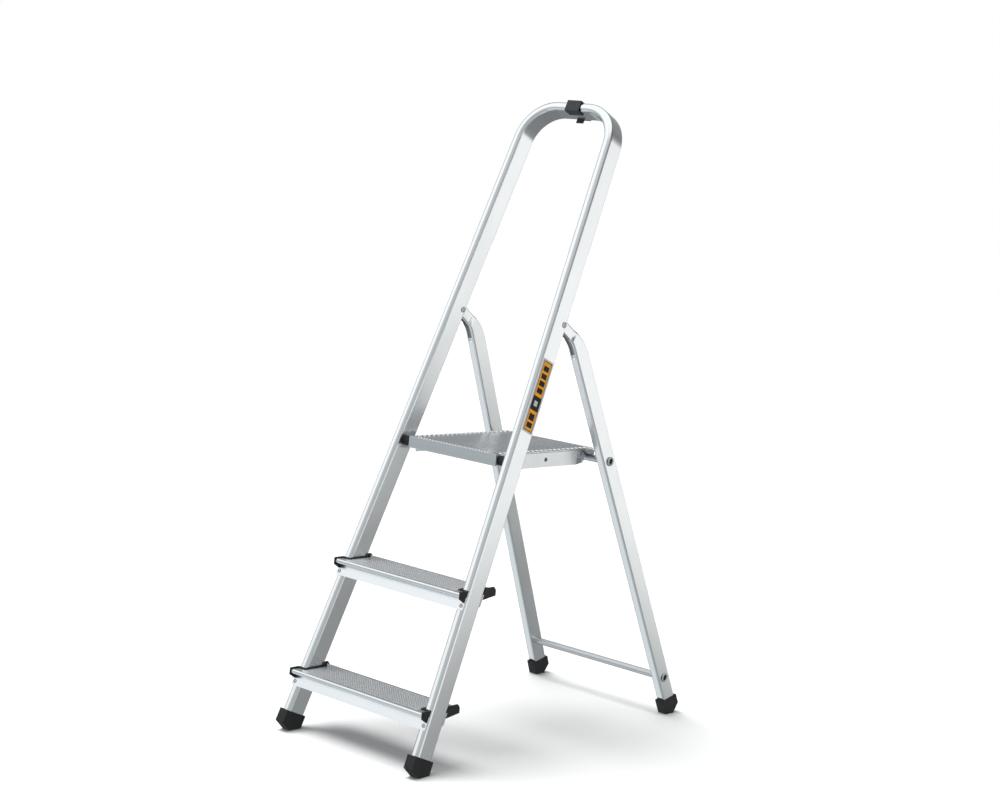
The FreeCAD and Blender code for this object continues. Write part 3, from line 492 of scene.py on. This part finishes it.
def reworked(node, width, segments=2):
    """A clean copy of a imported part: its flat faces are merged, and its sharp edges broken."""
    bm = bmesh.new()
    bm.from_mesh(frame["nodes"][node].data)
    bmesh.ops.remove_doubles(bm, verts=bm.verts, dist=packed_weld)
    bmesh.ops.dissolve_limit(bm, angle_limit=flat_angle, verts=bm.verts, edges=bm.edges)
    hard = [edge for edge in bm.edges if edge.is_manifold and edge.calc_face_angle(0) > hard_angle]
    round_edges(bm, hard, width, segments)
    return bm


def turned(bm, profile, centre, axis, steps):
    """Spins a profile of (along the axis, radius) points once round the axis through centre."""
    axis = Vector(axis).normalized()
    out = axis.orthogonal().normalized()
    points = [bm.verts.new(Vector(centre) + axis * along + out * radius) for along, radius in profile]
    edges = [bm.edges.new(pair) for pair in zip(points, points[1:])]
    bmesh.ops.spin(bm, geom=points + edges, cent=centre, axis=axis, dvec=(0, 0, 0), angle=math.tau,
                   steps=steps, use_merge=True, use_duplicate=False, use_normal_flip=False)


print("packed parts that can be reworked:", len(frame["nodes"]))

# %% [markdown]
# ## The bow
#
# The front frame is one rectangular aluminium tube, bent twice into a bow. A bender draws the tube
# round a former, so the corners are true arcs. The same is done here: the tube's section is made once
# at the foot, with broad round corners towards the climber and tight ones behind. It is extruded up
# the rail, spun through the corner and extruded to the middle. Mirroring gives the other half, and
# Solidify gives the wall. Each rail's rear wall has a slot that the rear leg folds into, so the
# section already has edges where the slot's sides run.

# %% Section helpers
rear_corner_share = 0.4


def rounded_section(bm, width, depth, corner, extra):
    """A loop of edges: x from -width to 0, y from 0 to depth, round corners, and cuts at each extra x."""
    bm.faces.new([bm.verts.new(point) for point in
                  ((-width, 0, 0), (0, 0, 0), (0, depth, 0), (-width, depth, 0))])
    for row, radius in ((0, corner), (depth, corner * rear_corner_share)):
        bmesh.ops.bevel(bm, geom=[vert for vert in bm.verts if abs(vert.co.y - row) < 1e-9], offset=radius,
                        segments=7, profile=0.5, affect="VERTICES", material=-1)
    for x in extra:
        slice_mesh(bm, (x, 0, 0), (1, 0, 0))
    inner = [edge for edge in bm.edges if len(edge.link_faces) > 1]
    bmesh.ops.delete(bm, geom=bm.faces[:], context="FACES_ONLY")
    bmesh.ops.delete(bm, geom=inner, context="EDGES")
    return bm.edges[:]


def extend(bm, ring, shift):
    """Extrudes a loop of edges along a vector, and gives the new loop."""
    moved = verts_of(bmesh.ops.extrude_edge_only(bm, edges=ring))
    bmesh.ops.translate(bm, verts=moved, vec=shift)
    ends = set(moved)
    return [edge for edge in bm.edges if edge.verts[0] in ends and edge.verts[1] in ends]


print("front corners", rail_corner, "rear corners", rail_corner * rear_corner_share)

# %% Bow tube
bow_top, bow_radius, bow_steps, rail_start = 1463 * mm, 90 * mm, 24, 25 * mm
slot_half, slot_low, slot_high = 7.3 * mm, 934 * mm, 990 * mm
bow_rise, middle_x = bow_top - bow_radius, -rail_width / 2
corner_x = floor_half_width - (bow_radius + bow_rise * math.sin(rail_taper)) / math.cos(rail_taper)
corner_up = (floor_half_width - corner_x) * math.sin(rail_taper) + bow_rise * math.cos(rail_taper)

bm = bmesh.new()
ring = rounded_section(bm, rail_width, rail_depth, rail_corner, (middle_x - slot_half, middle_x + slot_half))
bmesh.ops.translate(bm, verts=bm.verts, vec=(0, 0, rail_start))
reached = rail_start
for stop in (slot_low, slot_high, corner_up):
    ring = extend(bm, ring, (0, 0, stop - reached))
    reached = stop
bent = bmesh.ops.spin(bm, geom=ring, cent=(-bow_radius, 0, corner_up), axis=(0, -1, 0), dvec=(0, 0, 0),
                      angle=math.radians(90) - rail_taper, steps=bow_steps)
ring = [part for part in bent["geom_last"] if isinstance(part, bmesh.types.BMEdge)]
bm.transform(tapered)
extend(bm, ring, (-corner_x, 0, 0))
slot_faces = [face for face in bm.faces
              if abs(face.calc_center_median().y - rail_depth) < 0.1 * mm
              and slot_low < face.calc_center_median().z < slot_high
              and face.calc_area() > (slot_high - slot_low) * slot_half * 2 * 0.9]
bmesh.ops.delete(bm, geom=slot_faces, context="FACES_ONLY")
bmesh.ops.mirror(bm, geom=bm.verts[:] + bm.edges[:] + bm.faces[:], axis="X", merge_dist=0.01 * mm)
make_piece(bm, "bow_tube", rail_metal, "front", ["front_frame"], in_rails, wall=rail_wall)
print("slots cut:", len(slot_faces), "corner centre at", round(corner_x, 4), round(corner_up, 4))

# %% [markdown]
# ## The rear legs
#
# A rear leg is a thinner tube. Near the top it bends forwards and is squeezed flat in a press, so that
# its tongue fits the slot of the rail. The press leaves a step where the squeezing starts, and a groove
# in the inside of the bend that runs out in a small scoop. The groove's faces get a dark metal as
# painted shade. The side outline is drawn once, with true arcs at the bends, and pushed through the
# leg's width. The long edges are then rounded.

# %% Leg outline
tongue_half, tongue_thickness, tongue_length = 13 * mm, 13 * mm, 38 * mm
outer_bend, inner_bend, leg_start = 120 * mm, 60 * mm, 6 * mm
from_foot = leg_pivot - leg_origin
pivot_up = (-math.sin(leg_lean) * from_foot.y + math.cos(leg_lean) * from_foot.z) / math.cos(leg_taper)
pivot_in = math.cos(leg_lean) * from_foot.y + math.sin(leg_lean) * from_foot.z
along_bend = Vector((-math.sin(leg_bend), math.cos(leg_bend)))
across_bend = Vector((math.cos(leg_bend), math.sin(leg_bend)))


def on_tongue(along, across):
    """(depth, height) on the bent end, measured from the pivot along it and across it."""
    return Vector((pivot_in - along * math.sin(leg_bend) + across * math.cos(leg_bend),
                   pivot_up + along * math.cos(leg_bend) + across * math.sin(leg_bend)))


def arc_points(start, end, radius, steps=10):
    """Points on an arc from start to end. It bulges to the right of its way, or to the left below zero."""
    chord = end - start
    side = Vector((chord.y, -chord.x)).normalized()
    rise = math.sqrt(max(radius ** 2 - (chord.length / 2) ** 2, 0))
    centre = (start + end) / 2 - side * math.copysign(rise, radius)
    arm = start - centre
    sweep = 2 * math.asin(min(1, chord.length / 2 / abs(radius))) * math.copysign(1, radius)
    return [centre + Matrix.Rotation(sweep * step / steps, 2) @ arm for step in range(steps + 1)]


bend_tan = math.tan(leg_bend / 2)
rear_corner = pivot_up + (tongue_half - (leg_depth - pivot_in) * math.cos(leg_bend)) / math.sin(leg_bend)
front_corner = pivot_up + (pivot_in * math.cos(leg_bend) - tongue_half) / math.sin(leg_bend)
rear_arc = arc_points(Vector((leg_depth, rear_corner - outer_bend * bend_tan)),
                      Vector((leg_depth, rear_corner)) + along_bend * outer_bend * bend_tan, outer_bend)
front_arc = arc_points(Vector((0, front_corner)) + along_bend * inner_bend * bend_tan,
                       Vector((0, front_corner - inner_bend * bend_tan)), -inner_bend)
tip_arc = arc_points(on_tongue(0, tongue_half), on_tongue(0, -tongue_half), tongue_half, 16)
outline = [Vector((0, leg_start)), Vector((leg_depth, leg_start)), *rear_arc, *tip_arc, *front_arc]
print("pivot at", round(pivot_in, 4), round(pivot_up, 4), "outline points:", len(outline))

# %% Pressed groove and tongue
groove_half, groove_depth, groove_run_out = 5.5 * mm, 3.2 * mm, 5 * mm
groove_low = front_corner - inner_bend * bend_tan - 22 * mm
dark_from, front_skin, crimp_run = groove_low + 8 * mm, 1.5 * mm, 9 * mm
groove_rows, groove_columns = (0, 1.5, 3, 5, 8, 14), (-1, -0.8, -0.5, 0, 0.5, 0.8, 1)


def press_groove(bm):
    """Sinks a rounded groove into the leg's front. Gives the vertices that it takes."""
    pressed = set()
    for vert in bm.verts:
        place = Vector((vert.co.y, vert.co.z))
        across_tongue = (place - on_tongue(0, 0)).dot(across_bend)
        if max(place.x, across_tongue + tongue_half) < front_skin and place.y > groove_low:
            end = max(0, min(1, (place.y - groove_low) / groove_run_out))
            hollow = max(0, 1 - (vert.co.x / groove_half) ** 2 - (1 - end) ** 2)
            vert.co.y += groove_depth * math.sqrt(hollow)
            pressed.add(vert)
    return pressed


def squeeze_tongue(bm):
    """Makes the leg as thin as the tongue from the crimp up."""
    crimp = on_tongue(-tongue_length, 0)
    for vert in bm.verts:
        if (Vector((vert.co.y, vert.co.z)) - crimp).dot(along_bend) > -1e-6:
            vert.co.x *= tongue_thickness / leg_width


print("groove starts at", round(groove_low, 4), "and is dark from", round(dark_from, 4))

# %% Legs


def make_leg(side, mirrored):
    """One rear leg, drawn on the right and mirrored for the left."""
    bm = bmesh.new()
    half = leg_width / 2
    prism(bm, [(-half, point.x, point.y) for point in outline], (leg_width, 0, 0))
    long_edges = [edge for edge in bm.edges if abs(edge.verts[0].co.x - edge.verts[1].co.x) < 1e-6
                  and max(vert.co.z for vert in edge.verts) > leg_start * 2]
    round_edges(bm, long_edges, leg_corner, 5)
    for back in (0, crimp_run):
        slice_mesh(bm, (0, *on_tongue(-tongue_length - back, 0)), (0, *along_bend))
    for row in groove_rows:
        slice_mesh(bm, (0, 0, groove_low + row * mm), (0, 0, 1))
    for share in groove_columns:
        slice_mesh(bm, (share * groove_half, 0, 0), (1, 0, 0))
    pressed = press_groove(bm)
    squeeze_tongue(bm)
    # The groove's faces from dark_from up take the second, dark metal: painted shade.
    for face in bm.faces:
        middle = face.calc_center_median()
        face.material_index = int(all(vert in pressed for vert in face.verts)
                                  and abs(middle.x) < groove_half * 0.9 and middle.z > dark_from)
    piece = make_piece(bm, f"leg_tube_{side}", leg_metal, "rear", [f"rear_leg_{side}"],
                       mirrored @ on_right_leg @ Matrix.Translation((-half, 0, 0)), sharp=30)
    piece.data.materials.append(leg_groove_painted_shade)


for side, mirrored in (("right", Matrix()), ("left", mirror_x)):
    make_leg(side, mirrored)

# %% [markdown]
# ## Cross tubes and rivets
#
# Two steel tubes join the legs. Each is pushed through and its ends are flared over with a round lip,
# so the bore stays open and dark. The rivets are the hollow kind whose rim is rolled outwards. All of
# them are turned shapes: a profile is drawn beside the axis and spun once round it.

# %% Cross tubes
tube_radius, tube_bore, bore_depth = 7.5, 5.8, 3.0
lip = [(3.4, tube_radius), (3.0, 9.3), (2.5, 9.85), (1.7, 10.0), (0.8, 9.8), (0.2, 9.2), (0.0, 8.4),
       (0.1, 7.4), (0.5, 6.6), (1.2, 6.05), (2.4, tube_bore), (bore_depth, tube_bore), (bore_depth, 0)]


def darken_bore(piece, centre, radius):
    """Gives the faces nearer to the X axis through centre than radius the dull finish of a bore."""
    piece.data.materials.append(unpolished_bore_and_slot_shade)
    for face in piece.data.polygons:
        if math.hypot(face.center.y - centre.y, face.center.z - centre.z) < radius:
            face.material_index = 1


for node, name in (("platform_support_tube", "support_tube"), ("brace_tube", "foot_brace")):
    low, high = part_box(node)
    centre = (low + high) / 2
    half = high.x - centre.x
    left_end = [(inset * mm - half, radius * mm) for inset, radius in reversed(lip)]
    right_end = [(-along, radius) for along, radius in reversed(left_end)]
    bm = bmesh.new()
    turned(bm, [*left_end, *right_end], centre, (1, 0, 0), 40)
    tube = make_piece(bm, name, zinc, "rear", [node])
    darken_bore(tube, centre, tube_bore * mm * 1.04)

# %% Rivet helpers
rivet_height = 1.2 * mm


def rolled_rivet(bm, spot, axis, radius, height, length):
    """A rivet whose head stands on spot and faces along axis. Its shank goes the other way."""
    shank = [(-length, 0), (-length, radius * 0.5), (0, radius * 0.5)]
    rim = [(0, radius * 0.97), (height * 0.35, radius), (height * 0.8, radius * 0.93),
           (height, radius * 0.80), (height * 0.9, radius * 0.68)]
    dimple = [(-height * 0.4, radius * 0.56), (-height * 0.4, radius * 0.46), (height * 0.3, radius * 0.40),
              (height * 0.55, radius * 0.2), (height * 0.6, 0)]
    turned(bm, [*shank, *rim, *dimple], spot, axis, 28)


def rivet_pair(node, radius, height, length):
    """Two rivets back to back that fill the node's box along X."""
    low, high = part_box(node)
    centre = (low + high) / 2
    bm = bmesh.new()
    for way, end in ((1, high.x), (-1, low.x)):
        rolled_rivet(bm, (end - way * height, centre.y, centre.z), (way, 0, 0), radius, height, length)
    return bm


print("a step's rivet stands out by", rivet_height)

# %% Step rivets
step_heights = {step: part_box(step)[1].z for step in ("lower_step", "middle_step")}
rivet_low, rivet_edge, skirt_wall = 27 * mm, 6.5 * mm, 2.2 * mm
for step, top in step_heights.items():
    bm = bmesh.new()
    for depth, way in ((-skirt_wall, -1), (rail_depth + skirt_wall, 1)):
        height = top - rivet_low
        along = (height + depth * math.sin(rail_lean)) / math.cos(rail_lean)
        reach = rail_outer_x(height) - rivet_edge
        for x in (reach, -reach):
            rolled_rivet(bm, (x, depth, along), (0, way, 0), 4.4 * mm, rivet_height, 4 * mm)
    make_piece(bm, f"{step}_rolled_rivets", rivet_metal, "front", [f"{step}_rivets"], in_rails)
print("treads at", {step: round(top, 4) for step, top in step_heights.items()})

# %% Pivot and platform rivets
pin_radius, pin_height = 6.5 * mm, 1.4 * mm
for side in ("right", "left"):
    for node, name in ((f"leg_pivot_rivet_{side}", "leg_pivot"),
                       (f"platform_pivot_pin_{side}", "platform_pivot")):
        low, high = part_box(node)
        bm = rivet_pair(node, pin_radius, pin_height, (high.x - low.x) / 2 - 1.5 * mm)
        make_piece(bm, f"{name}_rivet_{side}", rivet_metal, body_of[node], [node])
bm = rivet_pair("platform_side_rivets", 4.5 * mm, rivet_height, 4 * mm)
make_piece(bm, "platform_rolled_rivets", hook_steel, "platform", ["platform_side_rivets"])

# %% [markdown]
# ## Treads
#
# A tread is an aluminium extrusion, cut round the rails. Its shape is already exact in the packed
# part, so the copy only gets its sharp corners broken. The walking surface is different: the die
# leaves ribs along the tread, and a knurling wheel presses notches across them, which gives a grid of
# small raised pads. A grid is made over the top, and each of its cells is inset twice and raised. The
# pads get a darker copy of the tread metal as painted shade, and the grooves between them a lighter
# copy as a painted highlight, which gives the tread its finely dotted look.

# %% Tread pads
pad_pitch, pad_groove, pad_slope, pad_rise, pad_lift = 6.5 * mm, 1.0 * mm, 0.45 * mm, 0.42 * mm, 0.02 * mm
nose_band, tail_band, cap_cover = 11 * mm, 7 * mm, 5.5 * mm


def raised_grid(bm, low, high, height):
    """A grid of raised pads between two (x, y) corners. Gives how many there are each way."""
    count_x, count_y = round((high[0] - low[0]) / pad_pitch), round((high[1] - low[1]) / pad_pitch)
    grid = bmesh.ops.create_grid(bm, x_segments=count_x, y_segments=count_y, size=0.5)
    bmesh.ops.scale(bm, vec=(high[0] - low[0], high[1] - low[1], 1), verts=grid["verts"])
    middle = ((low[0] + high[0]) / 2, (low[1] + high[1]) / 2, height)
    bmesh.ops.translate(bm, vec=middle, verts=grid["verts"])
    faces = bm.faces[:]
    bmesh.ops.inset_individual(bm, faces=faces, thickness=pad_groove, depth=0)
    bmesh.ops.inset_individual(bm, faces=faces, thickness=pad_slope, depth=0)
    bmesh.ops.translate(bm, vec=(0, 0, pad_rise), verts=list({vert for face in faces for vert in face.verts}))
    return count_x, count_y


for step, top in step_heights.items():
    low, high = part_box(step)
    bm = reworked(step, 0.5 * mm)
    make_piece(bm, f"{step}_tread", tread_metal, "front", [step])
    inner = rail_outer_x(top) - rail_width - cap_cover
    bm = bmesh.new()
    counts = raised_grid(bm, (-inner, low.y + nose_band), (inner, high.y - tail_band), high.z + pad_lift)
    pads = make_piece(bm, f"{step}_grip_pads", pad_painted_shade_metal, "front", sharp=20)
    # The grooves take the lighter metal as a painted highlight, the pads the darker one as painted shade.
    pads.data.materials.append(tread_groove_painted_highlight)
    for face in pads.data.polygons:
        face.material_index = int(face.center.z < high.z + pad_rise * 0.9)
    print(step, "pads:", counts)

# %% [markdown]
# ## Platform
#
# The platform is pressed from sheet. Low ribs run across it for stiffness and grip, and beside each
# rib's end the press leaves a raised oval, with slots between the ovals. The ovals and the front
# scallops get a brighter copy of the deck metal as a painted highlight.
# Along the front edge there is a row of small scallops, and there are two drain holes near the front
# corners. The raised shapes are closed mounds that sit in the deck's own top. The slots and the drain
# holes are thin dark plates lying on the deck: painted shade in place of real openings.

# %% Deck sheet
deck_low, deck_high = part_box("platform_deck")
deck_slot_thickness, mound_cut = 0.12 * mm, 0.3
bm = reworked("platform_deck", 0.5 * mm)
make_piece(bm, "deck_sheet", deck_metal, "platform", ["platform_deck"])


def low_mound(bm, spot, half):
    """An oval raised mound: a squashed ball, cut off a little below its middle."""
    ball = bmesh.ops.create_uvsphere(bm, u_segments=16, v_segments=8, radius=1)["verts"]
    bmesh.ops.scale(bm, vec=half, verts=ball)
    bmesh.ops.translate(bm, vec=spot, verts=ball)
    bottom = spot[2] - half[2] * mound_cut
    for vert in ball:
        vert.co.z = max(vert.co.z, bottom)


def flat_oval(bm, spot, half_x, half_y):
    """A thin dark oval plate on the sheet that paints the shade of a slot or hole: a low round prism,
    stretched.
    """
    disc = bmesh.ops.create_cone(bm, cap_ends=True, segments=16, radius1=1, radius2=1,
                                 depth=deck_slot_thickness)["verts"]
    bmesh.ops.scale(bm, vec=(half_x, half_y, 1), verts=disc)
    bmesh.ops.translate(bm, vec=spot, verts=disc)


# %% Ribs and edge ovals
rib_pitch, rib_end, rib_half_y, rib_height = 15 * mm, 24 * mm, 3.2 * mm, 0.5 * mm
oval_in, oval_half = 8 * mm, (6 * mm, 4.6 * mm, 2.4 * mm)
slot_in, slot_half_x, slot_half_y = 7 * mm, 7 * mm, 3.6 * mm
ovals, cross_ribs, slots = bmesh.new(), bmesh.new(), bmesh.new()
rib_margin, last_rib = 10 * mm, 9 * mm
rows = int((deck_high.y - deck_low.y - rib_margin) / rib_pitch)
for row in range(rows):
    y = deck_high.y - last_rib - row * rib_pitch
    for way in (1, -1):
        low_mound(ovals, (way * (deck_high.x - oval_in), y, deck_high.z), oval_half)
        slot_spot = (way * (deck_high.x - slot_in), y - rib_pitch / 2, deck_high.z)
        flat_oval(slots, slot_spot, slot_half_x, slot_half_y)
    low_mound(cross_ribs, (0, y, deck_high.z), (deck_high.x - rib_end, rib_half_y, rib_height))
make_piece(cross_ribs, "deck_ribs", deck_metal, "platform", sharp=60)
# The edge ovals take the brighter metal as a painted highlight.
make_piece(ovals, "deck_edge_ovals", oval_painted_highlight, "platform", sharp=60)
print("rows of ribs:", rows)

# %% Scallops and drain holes
scallop_pitch, scallop_half = 8 * mm, (2.6 * mm, 3.6 * mm, 2.4 * mm)
drain_in, drain_back, drain_radius, scallop_margin = 17 * mm, 13 * mm, 3.6 * mm, 40 * mm
scallop_y = deck_low.y + scallop_half[1]
scallops = bmesh.new()
count = int((deck_high.x - deck_low.x - scallop_margin) / scallop_pitch)
for index in range(count):
    x = (index + 0.5 - count / 2) * scallop_pitch
    low_mound(scallops, (x, scallop_y, deck_high.z), scallop_half)
    flat_oval(slots, (x + scallop_pitch / 2, scallop_y, deck_high.z), 1.3 * mm, 3.4 * mm)
for way in (1, -1):
    drain_spot = (way * (deck_high.x - drain_in), deck_low.y + drain_back, deck_high.z)
    flat_oval(slots, drain_spot, drain_radius, drain_radius)
# The scallops take the brighter metal as a painted highlight.
make_piece(scallops, "deck_front_scallops", oval_painted_highlight, "platform", sharp=60)
# The slot and drain-hole plates are painted shade in place of real openings.
make_piece(slots, "deck_slots_painted_shade", unpolished_bore_and_slot_shade, "platform")
print("scallops:", count)

# %% [markdown]
# ## Sides, hooks and bushings
#
# The platform's sides are folded down, and turn inwards at a crease near the rear corner, so that the
# hooks reach the support tube between the legs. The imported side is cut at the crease, and everything
# behind it is moved in. The hooks rest on the tube, and the bushings keep the sides off the rails.

# %% Sides and hooks
side_crease, side_hook_start, side_turn = deck_high.y - 58 * mm, deck_high.y - 23 * mm, math.radians(19)
for side in ("right", "left"):
    bm = reworked(f"platform_side_{side}", 0.4 * mm)
    for place in (side_crease, side_hook_start):
        slice_mesh(bm, (0, place, 0), (0, 1, 0))
    for vert in bm.verts:
        past_crease = max(0, min(vert.co.y, side_hook_start) - side_crease)
        vert.co.x -= math.copysign(past_crease * math.tan(side_turn), vert.co.x)
    make_piece(bm, f"side_flange_{side}", side_metal, "platform",
               [f"platform_side_{side}"], sharp=7)
    bm = reworked(f"platform_hook_{side}", 0.6 * mm)
    make_piece(bm, f"hook_{side}", hook_steel, "platform", [f"platform_hook_{side}"])
print("crease at", round(side_crease, 4))

# %% Bushings
bushing_bore, bushing_edge = 4.1 * mm, 0.8 * mm
for side in ("right", "left"):
    low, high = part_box(f"platform_bushing_{side}")
    centre, half, radius = (low + high) / 2, (high.x - low.x) / 2, (high.z - low.z) / 2
    profile = [(-half, bushing_bore), (-half, radius - bushing_edge), (-half + bushing_edge, radius),
               (half - bushing_edge, radius), (half, radius - bushing_edge), (half, bushing_bore),
               (-half, bushing_bore)]
    bm = bmesh.new()
    turned(bm, profile, centre, (1, 0, 0), 40)
    make_piece(bm, f"bushing_{side}", black_plastic, "front", [f"platform_bushing_{side}"])

# %% [markdown]
# ## Plastic and rubber
#
# The step ends, the feet and the saddle on the bow are injection moulded. A mould always has slightly
# rounded edges, and those thin lines of light are what tell the eye that a black part is plastic. The
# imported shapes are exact, so each copy gets its edges rounded, and the step ends get the small knobs
# that hold the cap against the rail.

# %% Step ends
knob_in, knob_lift, cap_wall = 4.6 * mm, 0.3 * mm, 2 * mm
knob = [(0, 0), (0, 3.6 * mm), (5.5 * mm, 3.2 * mm), (6.6 * mm, 2.2 * mm), (6.8 * mm, 0)]
for step, top in step_heights.items():
    inner = rail_outer_x(top) - rail_width
    rear = rail_origin.y + top * math.tan(rail_lean) + (rail_depth + cap_wall) / math.cos(rail_lean)
    for side, way in (("right", 1), ("left", -1)):
        bm = reworked(f"{step}_cap_{side}", 0.8 * mm, 3)
        make_piece(bm, f"{step}_end_{side}", black_plastic, "front", [f"{step}_cap_{side}"])
        bm = bmesh.new()
        turned(bm, knob, (way * (inner - knob_in), rear, top + knob_lift), (0, 0, 1), 24)
        make_piece(bm, f"{step}_knob_{side}", black_plastic, "front")

# %% Feet and clip
for side in ("right", "left"):
    for body in ("front", "rear"):
        bm = reworked(f"{body}_foot_{side}", 1.0 * mm, 3)
        make_piece(bm, f"{body}_shoe_{side}", foot_rubber, body, [f"{body}_foot_{side}"])
bm = reworked("bow_clip", 1.1 * mm, 4)
make_piece(bm, "bow_saddle", clip_plastic, "front", ["bow_clip"])

# %% [markdown]
# ## Label
#
# The label is a printed film with a light border. Its print is generic: an amber field with a few
# dark blocks, and no lettering. It is a thin plate with its own UV map, so the print follows the
# plate. The print is made from masks, one for each block, where a mask is 1 inside a rectangle.

# %% Rectangle mask
inside, inside_in, inside_out = new_group(
    "inside_rectangle",
    [("UV", VECTOR, None), ("Centre U", FLOAT, 0.5), ("Centre V", FLOAT, 0.5), ("Half U", FLOAT, 0.2),
     ("Half V", FLOAT, 0.2)], ["Mask"])
parts = add_node(inside, "ShaderNodeSeparateXYZ", {"Vector": inside_in.outputs["UV"]})
near = []
for letter, axis_name in (("U", "X"), ("V", "Y")):
    offset = add_node(inside, "ShaderNodeMath",
                      {0: parts.outputs[axis_name], 1: inside_in.outputs[f"Centre {letter}"]},
                      operation="SUBTRACT")
    size = add_node(inside, "ShaderNodeMath", {0: offset.outputs["Value"]}, operation="ABSOLUTE")
    test = add_node(inside, "ShaderNodeMath",
                    {0: size.outputs["Value"], 1: inside_in.outputs[f"Half {letter}"]}, operation="LESS_THAN")
    near.append(test.outputs["Value"])
both = add_node(inside, "ShaderNodeMath", {0: near[0], 1: near[1]}, operation="MULTIPLY")
inside.links.new(both.outputs["Value"], inside_out.inputs["Mask"])
print("group:", inside.name)

# %% Label film
label_material, tree, shader = new_material("label_film")
uv = add_node(tree, "ShaderNodeUVMap", uv_map="print")
paper, amber, ink = (0.45, 0.46, 0.46, 1), (0.74, 0.30, 0.006, 1), (0.006, 0.006, 0.006, 1)
layers = [(ink, 0.5, 0.5, 0.40, 0.475), (amber, 0.5, 0.5, 0.362, 0.464)]
layers += [(ink, 0.5, 0.40, 0.37, 0.095), (paper, 0.5, 0.40, 0.16, 0.035)]
layers += [(ink, 0.5, v, 0.25, half_v) for v, half_v in
           ((0.105, 0.035), (0.215, 0.045), (0.575, 0.035), (0.675, 0.035), (0.775, 0.035), (0.880, 0.035))]
colour = paper
for tint, u, v, half_u, half_v in layers:
    block = use_group(tree, inside, {"UV": uv.outputs["UV"]},
                      **{"Centre U": u, "Centre V": v, "Half U": half_u, "Half V": half_v})
    mix = add_node(tree, "ShaderNodeMix", {"Factor": block.outputs["Mask"], "A": colour, "B": tint},
                   data_type="RGBA")
    colour = mix.outputs["Result"]
tree.links.new(colour, shader.inputs["Base Color"])
scuffs = use_group(tree, smudges, {"Vector": object_space(tree)}, Size=40.0)
tree.links.new(spread(tree, scuffs.outputs["Smudge"], 0.38, 0.5), shader.inputs["Roughness"])
shader.inputs["Specular IOR Level"].default_value = 0.2
print("printed blocks:", len(layers))

# %% Label plate
label_low, label_long, label_in, label_wide, label_thick = 733 * mm, 158 * mm, 7.5 * mm, 36.5 * mm, 0.3 * mm
bm = bmesh.new()
prism(bm, [(0, label_in, label_low), (0, label_in + label_wide, label_low),
           (0, label_in + label_wide, label_low + label_long), (0, label_in, label_low + label_long)],
      (label_thick, 0, 0))
upright = [edge for edge in bm.edges if abs(edge.verts[0].co.x - edge.verts[1].co.x) > label_thick / 2]
round_edges(bm, upright, 2 * mm, 4)
print_map = bm.loops.layers.uv.new("print")
for face in bm.faces:
    for loop in face.loops:
        spot = loop.vert.co
        loop[print_map].uv = ((spot.y - label_in) / label_wide, (spot.z - label_low) / label_long)
make_piece(bm, "rail_sticker", label_material, "front", ["rail_label"], on_right_rail, sharp=30)
